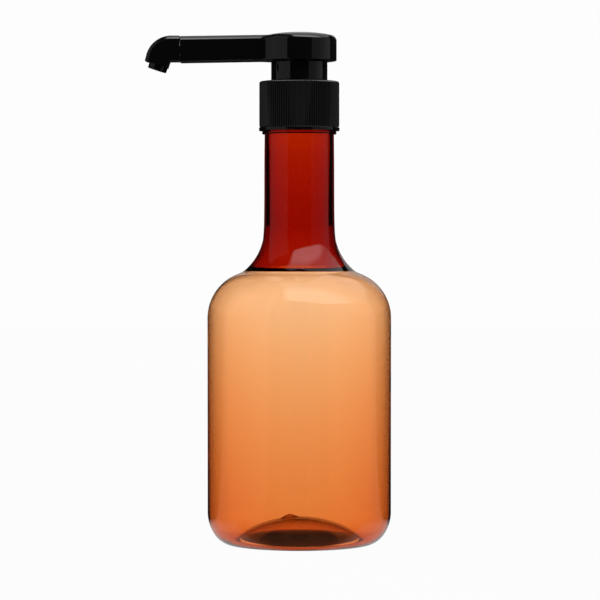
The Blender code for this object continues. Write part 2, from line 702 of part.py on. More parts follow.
def make_piston(kit):
    """Double-lipped: the two lips wipe the bore, and the waist between them stays clear of it."""
    outer = CYLINDER_BORE_RADIUS - FIT_GAP
    bore = STEM_RADIUS + FIT_GAP
    waist = outer - PISTON_WAIST_DEPTH
    lip_root = (outer + bore) / 2
    profile = [
        (outer, PISTON_TOP_Z),
        (waist, PISTON_TOP_Z - PISTON_LIP_HEIGHT),
        (waist, STEM_Z + PISTON_LIP_HEIGHT),
        (outer, STEM_Z),
        (outer - PISTON_WAIST_DEPTH / 2, STEM_Z),
        (lip_root, STEM_Z + PISTON_LIP_HEIGHT / 2),
        (lip_root, STEM_Z),
        (bore, STEM_Z),
        (bore, PISTON_TOP_Z),
        (lip_root, PISTON_TOP_Z),
        (lip_root, PISTON_TOP_Z - PISTON_LIP_HEIGHT / 2),
        (outer - PISTON_WAIST_DEPTH / 2, PISTON_TOP_Z),
    ]
    return turned(kit, "piston", profile, "natural", ROUND_SEGMENTS)


def make_outlet_valve_seat(kit):
    spigot = STEM_CHAMBER_RADIUS - FIT_GAP
    flange_top = OUTLET_SEAT_Z + OUTLET_FLANGE_HEIGHT
    profile = [
        (spigot, OUTLET_SEAT_TOP_Z),
        (spigot, flange_top),
        (OUTLET_FLANGE_RADIUS, flange_top),
        (OUTLET_FLANGE_RADIUS, OUTLET_SEAT_Z),
        (OUTLET_SEAT_RADIUS, OUTLET_SEAT_Z),
        (OUTLET_SEAT_RADIUS, OUTLET_SEAT_TOP_Z),
    ]
    return turned(kit, "outlet_valve_seat", profile, "natural", SMALL_SEGMENTS)


def make_ball(kit, name, radius, z):
    mesh = bpy.data.meshes.new(name)
    form = bmesh.new()
    bmesh.ops.create_uvsphere(form, u_segments=16, v_segments=10, radius=radius)
    form.to_mesh(mesh)
    form.free()
    mesh.shade_smooth()
    ball = place(kit, mesh, name, "glass")
    ball.location = (0, 0, z)
    return ball


def make_inlet_ball_cage(kit):
    """A ring over the ball whose crossed slots let syrup past when the ball is lifted."""
    profile = [
        (CAGE_RADIUS, CAGE_Z + CAGE_HEIGHT),
        (CAGE_RADIUS, CAGE_Z),
        (CAGE_HOLE_RADIUS, CAGE_Z),
        (CAGE_HOLE_RADIUS, CAGE_Z + CAGE_HEIGHT),
    ]
    cage = turned(kit, "inlet_ball_cage", profile, "natural", SMALL_SEGMENTS)
    for name, turn in (("cage_slot_x", 0), ("cage_slot_y", math.pi / 2)):
        mesh = bpy.data.meshes.new(name)
        form = bmesh.new()
        bmesh.ops.create_cube(form, size=1)
        size = (CAGE_SLOT_LENGTH, CAGE_SLOT_WIDTH, CAGE_HEIGHT + CUT_OVERRUN)
        bmesh.ops.scale(form, vec=size, verts=form.verts)
        form.to_mesh(mesh)
        form.free()
        slot = place(kit, mesh, name)
        slot.location = (0, 0, CAGE_Z + CAGE_HEIGHT / 2)
        slot.rotation_euler = (0, 0, turn)
        combine(cage, slot, "DIFFERENCE")
    return cage


def make_dip_tube(kit):
    """Straight tube with a slanting cut at its foot, clear of the pushed-up base."""
    cut = TUBE_RADIUS * math.tan(math.radians(TUBE_CUT_DEG))
    low = PUNT_HEIGHT + PUNT_WALL + TUBE_BASE_CLEARANCE
    high = SOCKET_TOP_Z - FIT_GAP
    profile = [
        (TUBE_RADIUS, high),
        (TUBE_RADIUS, low),
        (TUBE_BORE_RADIUS, low),
        (TUBE_BORE_RADIUS, high),
    ]
    tube = turned(kit, "dip_tube", profile, "natural", TUBE_SEGMENTS)
    depth = 2 * cut + CUT_OVERRUN
    knife = place(kit, cylinder_mesh("tube_cut", 2 * TUBE_RADIUS, depth, TUBE_SEGMENTS), "tube_cut")
    knife.rotation_euler = (0, math.radians(TUBE_CUT_DEG), 0)
    knife.location = (0, 0, low + cut - depth / 2 / math.cos(math.radians(TUBE_CUT_DEG)))
    combine(tube, knife, "DIFFERENCE")
    return tube


def arm_section(x, half_width, bottom, top):
    ring = rounded_section(half_width, bottom, top, ARM_ROUND, ARM_EDGE)
    return [(x, y, z) for y, z in ring]


def spout_arm(kit):
    """The arm: from inside the disc out along straight flanks, then tapering to the seam."""
    end_z = HEAD_Z - ARM_DROOP
    arm_top = HEAD_Z + ARM_HEIGHT
    inner_top = HEAD_Z + HEAD_HEIGHT - DOME_SAG - HEAD_EDGE
    sections = [
        arm_section(-SEAM_X, ARM_END_WIDTH, end_z, end_z + ARM_END_HEIGHT),
        arm_section(-ARM_ROOT_X, ARM_ROOT_WIDTH, HEAD_Z, arm_top),
        arm_section(-FLANK_START_X, FLANK_START_WIDTH, HEAD_Z, inner_top),
        arm_section(0, ARM_ROOT_WIDTH, HEAD_Z + HEAD_EDGE, inner_top - HEAD_EDGE),
    ]
    return lofted(kit, "spout_arm", sections)


def make_actuator_head(kit):
    """Domed disc with the spout arm, the sleeve's socket below it and the syrup channel through it."""
    top_z = HEAD_Z + HEAD_HEIGHT
    rim_z = top_z - DOME_SAG - HEAD_FILLET
    rim_radius = HEAD_RADIUS - HEAD_FILLET
    rim_slope = math.degrees(math.atan(2 * DOME_SAG / rim_radius))
    profile = [(0, top_z)]
    for share in (0.35, 0.7):
        profile.append((rim_radius * share, top_z - DOME_SAG * share**2))
    profile += arc(rim_radius, rim_z, HEAD_FILLET, 90.0 - rim_slope, 0.0, 5)
    profile += [
        (HEAD_RADIUS, HEAD_Z + HEAD_EDGE),
        (HEAD_RADIUS - HEAD_EDGE, HEAD_Z),
        (0, HEAD_Z),
    ]
    head = turned(kit, "actuator_head", profile, "black", BOTTLE_SEGMENTS, closed=False)
    combine(head, spout_arm(kit), "UNION")

    socket_top = HEAD_Z + SLEEVE_SEAT_DEPTH
    cuts = (
        ("sleeve_socket", HEAD_Z - CUT_OVERRUN, socket_top, SLEEVE_RADIUS + FIT_GAP, ROUND_SEGMENTS),
        ("stem_socket", HEAD_Z, STEM_TOP_Z + FIT_GAP, STEM_RADIUS + FIT_GAP, SMALL_SEGMENTS),
        ("riser", HEAD_Z, CHANNEL_Z, STEM_BORE_RADIUS, SMALL_SEGMENTS),
    )
    for name, low, high, radius, segments in cuts:
        combine(head, rod(kit, name, (0, 0, low), (0, 0, high), radius, segments), "DIFFERENCE")
    channel = rod(
        kit,
        "channel",
        (CHANNEL_END_X, 0, CHANNEL_Z),
        (-SEAM_X - CUT_OVERRUN, 0, CHANNEL_Z),
        CHANNEL_RADIUS,
        TUBE_SEGMENTS,
    )
    combine(head, channel, "DIFFERENCE")
    spigot_socket = rod(
        kit,
        "spigot_socket",
        (-SEAM_X + SPIGOT_LENGTH + FIT_GAP, 0, CHANNEL_Z),
        (-SEAM_X - CUT_OVERRUN, 0, CHANNEL_Z),
        SPIGOT_RADIUS + FIT_GAP,
        SMALL_SEGMENTS,
    )
    combine(head, spigot_socket, "DIFFERENCE")
    return head


def elbow_ring(turn, run, height, half_width, round_share):
    """One section of the elbow. It is turned about the inner corner and then moved along its own way out."""
    pivot = Vector((-ELBOW_PIVOT_X, 0, ELBOW_Z - ELBOW_INNER_RADIUS))
    corner = ELBOW_ROUND * round_share
    section = rounded_section(half_width, ELBOW_INNER_RADIUS, ELBOW_INNER_RADIUS + height, corner, ARM_EDGE)
    turned_by = Matrix.Rotation(-turn, 3, "Y")
    way_out = turned_by @ Vector((-1, 0, 0))
    return [tuple(pivot + turned_by @ Vector((0, y, z)) + way_out * run) for y, z in section]


def make_nozzle_elbow(kit):
    """Curved end of the spout, turned about its sharp inner corner, with a narrower tip and a spigot."""
    steps = 9
    rings = [elbow_ring(0, FIT_GAP - ELBOW_LEVEL_RUN, ELBOW_HEIGHT, ELBOW_WIDTH, 1)]
    for step in range(steps + 1):
        rings.append(elbow_ring(ELBOW_SWEEP * step / steps, 0, ELBOW_HEIGHT, ELBOW_WIDTH, 1))
    end_share = ELBOW_END_HEIGHT / ELBOW_HEIGHT
    rings.append(elbow_ring(ELBOW_SWEEP, ELBOW_END_RUN, ELBOW_END_HEIGHT, ELBOW_WIDTH * end_share, end_share))
    elbow = lofted(kit, "nozzle_elbow", rings, "black")

    down = Matrix.Rotation(-ELBOW_SWEEP, 3, "Y") @ Vector((-1, 0, 0))
    outward = Matrix.Rotation(-ELBOW_SWEEP, 3, "Y") @ Vector((0, 0, 1))
    pivot = Vector((-ELBOW_PIVOT_X, 0, ELBOW_Z - ELBOW_INNER_RADIUS))
    end_face = pivot + outward * (ELBOW_INNER_RADIUS + TIP_RADIUS + TIP_INSET) + down * ELBOW_END_RUN
    start = end_face - down * ELBOW_END_RUN
    tip = rod(kit, "tip", start, end_face + down * TIP_LENGTH, TIP_RADIUS, SMALL_SEGMENTS)
    combine(elbow, tip, "UNION")
    seam = Vector((-SEAM_X - FIT_GAP, 0, CHANNEL_Z))
    spigot = rod(
        kit,
        "spigot",
        seam + Vector((SPIGOT_LENGTH, 0, 0)),
        seam - Vector((CUT_OVERRUN, 0, 0)),
        SPIGOT_RADIUS,
        SMALL_SEGMENTS,
    )
    combine(elbow, spigot, "UNION")

    # The two bores meet where the tip's middle line crosses the channel's
    meet = end_face - down * ((CHANNEL_Z - end_face.z) / -down.z)
    level = rod(
        kit,
        "level_bore",
        seam + Vector((SPIGOT_LENGTH + CUT_OVERRUN, 0, 0)),
        (meet.x, 0, CHANNEL_Z),
        CHANNEL_RADIUS,
        TUBE_SEGMENTS,
    )
    combine(elbow, level, "DIFFERENCE")
    sloping = rod(
        kit,
        "sloping_bore",
        meet - down * CHANNEL_RADIUS,
        end_face + down * (TIP_LENGTH + CUT_OVERRUN),
        TIP_BORE_RADIUS,
        SMALL_SEGMENTS,
    )
    combine(elbow, sloping, "DIFFERENCE")
    return elbow


def main():
    clear_scene()
    axis = bpy.data.objects.new("bottle_axis", None)
    axis.location = (AXIS_X, 0, 0)
    kit = {
        "parts": new_collection("syrup_pump_bottle"),
        "cutters": new_collection("cutters"),
        "axis": axis,
        "amber": new_material("amber_clear_plastic", (0.60, 0.20, 0.05), 0.03, transmission=1.0),
        "black": new_material("black_gloss_plastic", (0.006, 0.006, 0.006), 0.12),
        "natural": new_material("natural_clear_plastic", (0.85, 0.84, 0.80), 0.20, transmission=0.8),
        "seal": new_material("white_seal_rubber", (0.75, 0.74, 0.70), 0.60),
        "steel": new_material("stainless_steel", (0.56, 0.55, 0.53), 0.25, metallic=1.0),
        "glass": new_material("clear_glass", (0.95, 0.96, 0.96), 0.02, transmission=1.0),
    }
    kit["parts"].objects.link(axis)
    make_bottle(kit)
    make_gasket(kit)
    make_closure(kit)
    make_lock_collar(kit)
    make_housing(kit)
    make_spring_cup(kit)
    make_stem_wiper(kit)
    make_return_spring(kit)
    make_spring_seat(kit, "lower_spring_seat", CUP_FLOOR_Z + FIT_GAP)
    make_spring_seat(kit, "upper_spring_seat", SPRING_HIGH_Z + FIT_GAP)
    make_spring_sleeve(kit)
    make_stem(kit)
    make_piston(kit)
    make_outlet_valve_seat(kit)
    make_ball(kit, "outlet_ball", OUTLET_BALL_RADIUS, OUTLET_BALL_Z)
    make_ball(kit, "inlet_ball", INLET_BALL_RADIUS, INLET_BALL_Z)
    make_inlet_ball_cage(kit)
    make_dip_tube(kit)
    make_actuator_head(kit)
    make_nozzle_elbow(kit)


main()
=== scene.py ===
"""Dresses the syrup pump bottle with smooth, finely finished pieces and stands it in a bright studio."""

import math

import bmesh
import bpy
from bpy.props import FloatProperty, FloatVectorProperty, IntProperty, PointerProperty
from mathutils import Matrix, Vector
from mathutils.geometry import interpolate_bezier


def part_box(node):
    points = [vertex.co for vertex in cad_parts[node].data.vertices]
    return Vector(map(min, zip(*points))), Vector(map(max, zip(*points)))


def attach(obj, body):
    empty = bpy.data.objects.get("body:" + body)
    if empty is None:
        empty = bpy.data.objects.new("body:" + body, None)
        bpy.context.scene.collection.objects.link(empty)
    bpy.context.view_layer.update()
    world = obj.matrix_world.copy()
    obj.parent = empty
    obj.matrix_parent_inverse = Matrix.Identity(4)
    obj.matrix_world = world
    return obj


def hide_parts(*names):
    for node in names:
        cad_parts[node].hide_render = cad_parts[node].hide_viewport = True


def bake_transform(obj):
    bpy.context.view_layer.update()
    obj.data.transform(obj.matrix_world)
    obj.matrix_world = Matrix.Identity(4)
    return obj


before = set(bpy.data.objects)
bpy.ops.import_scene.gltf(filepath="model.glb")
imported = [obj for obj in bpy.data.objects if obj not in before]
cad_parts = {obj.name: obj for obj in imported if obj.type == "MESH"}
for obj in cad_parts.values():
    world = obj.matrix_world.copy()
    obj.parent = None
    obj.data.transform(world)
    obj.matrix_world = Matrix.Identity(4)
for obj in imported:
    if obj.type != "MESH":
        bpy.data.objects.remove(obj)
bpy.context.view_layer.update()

bl_info = {
    "name": "Syrup Pump Bottle",
    "version": (1, 0, 0),
    "blender": (4, 5, 0),
    "location": "3D View > Sidebar > Pump Bottle",
    "description": "Adds the smooth pieces, finishes and studio of a syrup pump bottle",
    "category": "Add Mesh",
}


def packed_ring(node):
    """Foot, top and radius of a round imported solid."""
    low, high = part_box(node)
    return low.z, high.z, (high.y - low.y) / 2


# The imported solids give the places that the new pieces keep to
BOTTLE_TOP, BOTTLE_RADIUS = packed_ring("bottle")[1:]
CAP_FOOT, CAP_TOP, CAP_RADIUS = packed_ring("closure")
COLLAR_FOOT, COLLAR_TOP, COLLAR_RADIUS = packed_ring("lock_collar")
SLEEVE_FOOT, SLEEVE_TOP, SLEEVE_RADIUS = packed_ring("spring_sleeve")
SPRING_FOOT, SPRING_TOP, SPRING_RADIUS = packed_ring("return_spring")
SEAM_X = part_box("actuator_head")[0].x
AXIS_X = sum(corner.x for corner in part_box("lock_collar")) / 2
AXIS = Vector((AXIS_X, 0, 0))
UP = (0, 0, 1)

GAP = 0.0003  # Room between pieces that lie against each other
OVERRUN = 0.002  # How far a cutter stands out of the piece that it cuts
WELD = 0.000001  # Corners closer than this are one
NEAR = 0.00002  # Corners closer than this to a plane lie in it
DISC_Z = COLLAR_TOP + GAP  # The head's underside
FLOOR_Z = -0.0001  # Just under the bottle
ROUND_STEPS = 160
FINE_ROUND_STEPS = 192

# The neck between its ring and the flare: shares of its swelling and of its height
NECK_SWELL = ((0.0, 0.0), (0.16, 0.25), (0.21, 0.55), (0.27, 0.72), (0.38, 0.84), (0.60, 0.93), (1.0, 1.0))

# The wall by height: shares of the neck's wall, and of the gain from the shoulder's wall to the body's
NECK_WALL_SHARES = (
    (0.1500, 0.82),
    (0.1546, 0.88),
    (0.1671, 1.00),
    (0.1796, 0.95),
    (0.1952, 0.86),
    (0.2080, 0.79),
)
BODY_WALL_SHARES = ((0.046, 1.0), (0.075, 0.615), (0.106, 0.29), (0.127, 0.07), (0.136, 0.0))

# The heights between which the blown surface is most uneven, and the softness past them
UNEVEN_HEIGHT = (0.128, 0.152, 0.018)

# The lights that gloss shows. A turn is in radians round the bottle, from the camera to the right, and
# the rest are parts of a direction. Three numbers are two ends and the softness past them, and two are
# where a change begins and where it is complete
RIGHT_BOX_TURN = (0.70, 1.90, 0.04)
RIGHT_BOX_RISE = (-0.55, 0.50, 0.05)
RIGHT_BOX_GAIN = (0.9, 1.9)
LEFT_BOX_TURN = (-1.90, -0.68, 0.04)
LEFT_BOX_RISE = (-0.55, 0.76, 0.06)
WALL_TURN = (1.3, 2.7, 0.1)
WALL_RISE = (0.12, 0.70, 0.06)
FAR_DEPTH = (0.93, 0.955)
FAR_RISE = (-0.3, 0.4, 0.03)
WINDOW_DEPTH = (0.80, 0.86)
WINDOW_RISE = (0.16, 0.50, 0.04)
WINDOW_WIDTH = (-0.12, 0.38, 0.05)
OVERHEAD_TILT = 0.22
OVERHEAD_RISE = (0.66, 0.71)
OVERHEAD_WIDTH = (-0.30, -0.18)
OVERHEAD_END = (0.74, 0.84)
OVERHEAD_FADE = (-0.35, 0.0)

# Shares of the lights' brightness: what each has or gains, and what the overhead light loses
RIGHT_BOX_SHARE = 0.55
RIGHT_BOX_FAR_GAIN = 0.62
LEFT_BOX_SHARE = 0.95
BOXES_TURNED_BACK_GAIN = 2.5
WALLS_TURNED_BACK = 4.0
WINDOW_SHARE = 0.5
OVERHEAD_FAR_LOSS = 0.73
OVERHEAD_TURNED_BACK_LOSS = 0.75

# Where the floor changes: from the axis outwards, along Y, and from the middles of its two ovals of painted
# shadow outwards
FLOOR_NEAR = (0.06, 0.12)
FLOOR_FRONT = (-0.040, -0.034)
PAINTED_SHADOW_EDGE = (0.0372, 0.0390)
PAINTED_HALF_SHADOW_EDGE = (0.040, 0.046)

# The two ovals of painted shadow under the bottle, dark and half dark: how many times deeper than wide, and
# where the middle lies along Y
PAINTED_SHADOW_OVAL = (1.22, 0.007)
PAINTED_HALF_SHADOW_OVAL = (1.35, 0.020)

# Shares of the floor's brightness: inside each oval of painted shadow, in gloss near the bottle where the
# floor is painted dim as shade, the painted brightening that gloss finds under the bottle, and what the
# mottle of the paper takes
PAINTED_SHADOW_SHARE = 0.012
PAINTED_HALF_SHADOW_SHARE = 0.16
NEAR_PAINTED_SHADE_SHARE = 0.12
UNDER_PAINTED_LIGHT_GAIN = 0.5
PAPER_MOTTLE = 0.015


def length(label, words, default):
    return FloatProperty(name=label, description=words, default=default, unit="LENGTH", precision=5)


def colour(label, words, default):
    return FloatVectorProperty(
        name=label, description=words, default=default, subtype="COLOR", size=3, min=0.0, max=1.0
    )


def number(label, words, default):
    return FloatProperty(name=label, description=words, default=default)


def angle(label, words, degrees):
    return FloatProperty(name=label, description=words, default=math.radians(degrees), subtype="ANGLE")


class PumpBottleBodySizes(bpy.types.PropertyGroup):
    """Sizes of the bottle, outside and in the wall."""

    lip_round: length("Lip rounding", "Rounding of the bottle's lip", 0.0006)
    finish_radius: length("Finish radius", "The neck inside the cap, without its thread", 0.0176)
    bead_radius: length("Bead radius", "Ring under the cap", 0.01945)
    bead_height: length("Bead height", "Height of the ring under the cap", 0.0015)
    bead_round: length("Bead rounding", "Rounding of the ring's rim", 0.0006)
    neck_top_radius: length("Neck radius, top", "Neck just under the ring", 0.0181)
    neck_low_radius: length("Neck radius, low", "Neck where the flare begins", 0.0190)
    flare_start: angle("Flare start", "Angle at which the hollow curve of the flare begins", 12.0)
    flare_end: angle("Flare end", "Angle at which the hollow curve of the flare ends", 50.5)
    crease_run: length("Crease run", "Width of the soft crease between flare and shoulder", 0.0034)
    crease_drop: length("Crease drop", "Height of the soft crease between flare and shoulder", 0.0017)
    shoulder_height: length("Shoulder height", "Top of the straight wall", 0.1184)
    shoulder_radius: length("Shoulder radius", "Rounding of the shoulder", 0.0246)
    shoulder_start: angle("Shoulder start", "Angle at which the shoulder's curve begins", 69.0)
    heel_width: length("Heel width", "How far the rounded heel draws in", 0.0128)
    heel_height: length("Heel height", "Height of the rounded heel", 0.0175)
    ring_width: length("Ring width", "Flat ring that the bottle stands on", 0.0022)
    punt_height: length("Punt height", "How far the base is pushed up, measured under it", 0.0138)
    punt_swell: number("Punt swell", "1 makes the pushed-up base an oval, more draws it to a point", 1.3)
    neck_wall: length("Neck wall", "Greatest thickness of the neck", 0.00285)
    finish_wall: length("Finish wall", "Thickness of the neck above the bore's step", 0.0016)
    bore_step_drop: length("Bore step drop", "Depth of the bore's step below the lip", 0.0311)
    step_high: length("Wall step, top", "Height at which the thick neck wall begins to thin", 0.1454)
    step_low: length("Wall step, foot", "Height at which the wall has become thin", 0.1430)
    shoulder_wall: length("Shoulder wall", "Thickness of the stretched shoulder", 0.00036)
    body_wall: length("Body wall", "Thickness of the lower body", 0.00085)
    ring_wall: length("Ring wall", "Thickness of the base at the standing ring", 0.0012)
    punt_wall: length("Punt wall", "Thickness of the pushed-up base", 0.0003)
    gate_wall: length("Gate wall", "Thickness in the middle of the base", 0.0004)
    gate_radius: length("Gate radius", "Half width of the thick middle of the base", 0.0085)
    nib_x: length("Gate mark place", "From the axis to the gate mark on the base", -0.0054)
    nib_height: length("Gate mark height", "How far the gate mark stands up", 0.0017)
    nib_radius: length("Gate mark radius", "Half width of the gate mark", 0.0060)


class PumpBottleCapSizes(bpy.types.PropertyGroup):
    """Sizes of the ribbed cap, the lock collar and the sleeve."""

    rib_count: IntProperty(name="Ribs", description="Upright ribs round the cap", default=100, min=12)
    rib_depth: length("Rib depth", "Depth of the grooves between the ribs", 0.00040)
    rib_inset: length("Rib inset", "How far the ribs stand back from the band under them", 0.00015)
    rib_steps: IntProperty(name="Rib steps", description="Facets of one rib and groove", default=6, min=4)
    rib_power: number("Rib power", "1 makes a rib round, more makes it narrower", 1.2)
    lip_height: length("Lip height", "Plain band at the foot of the cap", 0.0018)
    chamfer: length("Cap chamfer", "Cut edges of the plain band", 0.0002)
    corner: length("Cap corner", "Rounding of the cap's top edge", 0.0012)
    bore_radius: length("Cap bore", "Inside of the cap", 0.0190)
    top_wall: length("Cap top", "Thickness of the cap's top", 0.0017)
    hole_radius: length("Cap hole", "Hole for the pump in the cap's top", 0.0123)
    collar_corner: length("Collar corner", "Rounding of the collar's top edge", 0.0005)
    collar_top_wall: length("Collar top", "Thickness of the collar's top", 0.0016)
    collar_bore: length("Collar bore", "Inside of the collar", 0.0122)
    collar_hole: length("Collar hole", "Hole for the sleeve in the collar's top", 0.0094)
    sleeve_wall: length("Sleeve wall", "Thickness of the sleeve", 0.0014)
    fine_edge: length("Fine edge", "Cut edges of the collar's hole and of the sleeve's top", 0.0002)


class PumpBottleHeadSizes(bpy.types.PropertyGroup):
    """Sizes of the head, its spout arm and the elbow."""

    disc_radius: length("Disc radius", "Radius of the domed head", 0.0195)
    disc_height: length("Disc height", "Height of the domed head", 0.0148)
    dome_sag: length("Dome sag", "How far the dome falls to its rim", 0.0014)
    disc_fillet: length("Disc fillet", "Rounding of the head's upper rim", 0.0030)
    disc_edge: length("Disc edge", "Rounding of the head's lower rim", 0.0005)
    socket_radius: length("Sleeve socket", "Radius of the socket under the head", 0.0093)
    socket_depth: length("Sleeve socket depth", "Depth of the socket under the head", 0.0024)
    stem_radius: length("Stem socket", "Radius of the hole that takes the stem", 0.0043)
    stem_depth: length("Stem socket depth", "Depth of the hole that takes the stem", 0.0037)
    riser_radius: length("Riser", "Radius of the syrup's way up to the arm", 0.0018)
    channel_radius: length("Channel", "Radius of the syrup channel in the arm", 0.0031)
    channel_height: length("Channel height", "Channel's middle over the head's underside", 0.00615)
    channel_start: length("Channel start", "How far the channel begins beyond the axis", 0.0030)
    arm_round: length("Arm rounding", "Rounding of the arm's upper edges", 0.0030)
    arm_edge: length("Arm edge", "Rounding of the arm's lower edges", 0.0008)
    arm_height: length("Arm height", "Height of the arm", 0.0132)
    arm_growth: length("Arm growth", "How much higher the arm is at the seam", 0.0005)
    arm_droop: length("Arm droop", "How far the arm falls to the seam", 0.0009)
    root_x: length("Arm root", "Where the head's flanks meet the arm, from the axis", 0.0200)
    root_width: length("Arm root width", "Half width of the arm at its root", 0.0097)
    flank_x: length("Flank start", "Where the flanks leave the disc, from the axis", 0.0072)
    flank_width: length("Flank width", "Half width where the flanks leave the disc", 0.0181)
    end_width: length("Arm end width", "Half width of the arm at the seam", 0.0068)
    seam_edge: length("Seam edge", "Rounding of the arm's end at the seam", 0.0002)
    elbow_height: length("Elbow height", "Height of the elbow", 0.0135)
    elbow_width: length("Elbow width", "Half width of the elbow", 0.0065)
    elbow_rise: length("Elbow rise", "Elbow's underside over the arm's, at the seam", 0.00045)
    elbow_round: length("Elbow rounding", "Rounding of the elbow's outer edges", 0.0027)
    elbow_corner: length("Elbow corner", "Radius of the elbow's inner corner", 0.0004)
    elbow_edge: length("Elbow edge", "Rounding of the elbow's two ends", 0.00025)
    level_run: length("Level run", "Straight stretch between the seam and the turn", 0.0051)
    end_run: length("End run", "Straight stretch after the turn", 0.0034)
    turn_share: number("Turn share", "Share of its height that the elbow keeps after the turn", 0.945)
    end_height: length("End height", "Height of the elbow at its end", 0.0126)
    tip_tilt: angle("Tip tilt", "How far the tip leans from upright", 18.0)
    tip_radius: length("Tip radius", "Outside of the tip", 0.0050)
    tip_inset: length("Tip inset", "Between the tip and the elbow's inner side", 0.00015)
    tip_edge: length("Tip edge", "Rounding of the tip's rim", 0.0003)
    tip_bore: length("Tip bore", "Inside of the tip", 0.0037)
    tip_length: length("Tip length", "How far the tip stands out", 0.00265)
    spigot_radius: length("Spigot radius", "Spigot that joins elbow and arm", 0.0043)
    spigot_length: length("Spigot length", "Spigot that joins elbow and arm", 0.0076)


class PumpBottleFinishes(bpy.types.PropertyGroup):
    """Colours and gloss of the plastics and metals."""

    amber_loss: FloatVectorProperty(
        name="Amber absorption",
        description="Red, green and blue light lost in a metre of the amber plastic",
        default=(250.0, 1050.0, 2000.0),
    )
    amber_ior: number("Amber IOR", "Refraction of the bottle's plastic", 1.57)
    black: colour("Black", "Moulded black plastic", (0.0035, 0.0035, 0.0038))
    black_roughness: number("Black roughness", "Least roughness of the smooth black plastic", 0.05)
    rib_roughness: number("Rib roughness", "Least roughness of the ribbed black plastic", 0.13)
    clear: colour("Clear", "Uncoloured plastic and glass", (0.90, 0.89, 0.86))
    steel: colour("Steel", "Stainless steel", (0.56, 0.55, 0.53))
    seal: colour("Seal", "Off-white sealing rubber", (0.75, 0.74, 0.70))


class PumpBottleStudio(bpy.types.PropertyGroup):
    """Camera and light."""

    distance: length("Camera distance", "From the bottle's axis", 1.5)
    height: length("Camera height", "Over the floor", 0.156)
    aside: length("Camera aside", "To the right of the bottle's axis", 0.00037)
    pitch: angle("Camera pitch", "How far the camera looks down", 1.078)
    lens: FloatProperty(name="Lens", description="Focal length", default=172.1, unit="CAMERA")
    white: number("Backdrop", "Brightness of the backdrop as the camera sees it", 0.982)
    through: number("Backdrop through plastic", "Brightness of the backdrop behind clear plastic", 1.28)
    softbox: number("Softboxes", "Brightness of the two softboxes beside the bottle", 0.20)
    overhead: number("Overhead light", "Brightness of the light above the bottle", 3.0)
    far_panel: number("Far panel", "Brightness of the backdrop in reflections", 0.9)
    room: number("Room", "Brightness of the dim room", 0.012)
    floor_size: length("Floor size", "Width of the floor", 8.0)


class Socket:
    """A value in a node tree. Arithmetic on it adds Math nodes."""

    def __init__(self, graph, link):
        self.graph = graph
        self.link = link

    def __add__(self, other):
        return self.graph.math("ADD", self, other)

    def __mul__(self, other):
        return self.graph.math("MULTIPLY", self, other)

    def __sub__(self, other):
        return self.graph.math("SUBTRACT", self, other)

    def __rsub__(self, other):
        return self.graph.math("SUBTRACT", other, self)

    def __pow__(self, other):
        return self.graph.math("POWER", self, other)

    def __gt__(self, other):
        return self.graph.math("GREATER_THAN", self, other)

    def __abs__(self):
        return self.graph.math("ABSOLUTE", self)

    __radd__ = __add__
    __rmul__ = __mul__


class Graph:
    """The nodes of a material or of the world."""

    def __init__(self, tree):
        self.tree = tree
        tree.nodes.clear()

    def node(self, kind, settings=None, inputs=None, output=0):
        """Adds a node. Its output is one socket, or a list of sockets where a tuple names them."""
        made = self.tree.nodes.new(kind)
        for name, value in (settings or {}).items():
            setattr(made, name, value)
        for name, value in (inputs or {}).items():
            if isinstance(value, Socket):
                self.tree.links.new(value.link, made.inputs[name])
            else:
                made.inputs[name].default_value = value
        if isinstance(output, tuple):
            return [Socket(self, made.outputs[name]) for name in output]
        return Socket(self, made.outputs[output])

    def math(self, operation, *values):
        return self.node("ShaderNodeMath", {"operation": operation}, dict(enumerate(values)))

    def vector_math(self, operation, *values, output="Vector"):
        return self.node("ShaderNodeVectorMath", {"operation": operation}, dict(enumerate(values)), output)

    def step(self, value, low, high):
        """0 below low, 1 above high and soft between them."""
        return self.node(
            "ShaderNodeMapRange",
            {"interpolation_type": "SMOOTHSTEP"},
            {"Value": value, "From Min": low, "From Max": high},
        )

    def band(self, value, low, high, blur):
        """1 between low and high, with soft edges."""
        return self.step(value, low - blur, low) * (1 - self.step(value, high, high + blur))

    def blend(self, factor, first, second):
        """A colour between two colours, with the numbers of the Mix node's colour sockets."""
        return self.node("ShaderNodeMix", {"data_type": "RGBA"}, {0: factor, 6: first, 7: second}, 2)

    def parts(self, vector):
        """The x, y and z of a vector."""
        return self.node("ShaderNodeSeparateXYZ", None, {0: vector}, ("X", "Y", "Z"))

    def place(self):
        """Where a point is in the piece's own coordinates."""
        return self.node("ShaderNodeTexCoord", output="Object")

    def noise(self, scale, detail=3.0, stretch=(1.0, 1.0, 1.0)):
        """Noise in the piece's own coordinates, from 0 to 1."""
        placed = self.node("ShaderNodeMapping", None, {"Vector": self.place(), "Scale": stretch})
        inputs = {"Vector": placed, "Scale": scale, "Detail": detail}
        return self.node("ShaderNodeTexNoise", None, inputs, "Fac")

    def bump(self, height, distance, strength):
        inputs = {"Height": height, "Distance": distance, "Strength": strength}
        return self.node("ShaderNodeBump", None, inputs, "Normal")

    def principled(self, inputs):
        return self.node("ShaderNodeBsdfPrincipled", None, inputs)

    def finish(self, **inputs):
        self.node("ShaderNodeOutputMaterial", None, inputs, ())


def opaque(rgb, share=1.0):
    """A colour socket's value, made darker or lighter by a share."""
    return (*(share * channel for channel in rgb), 1.0)


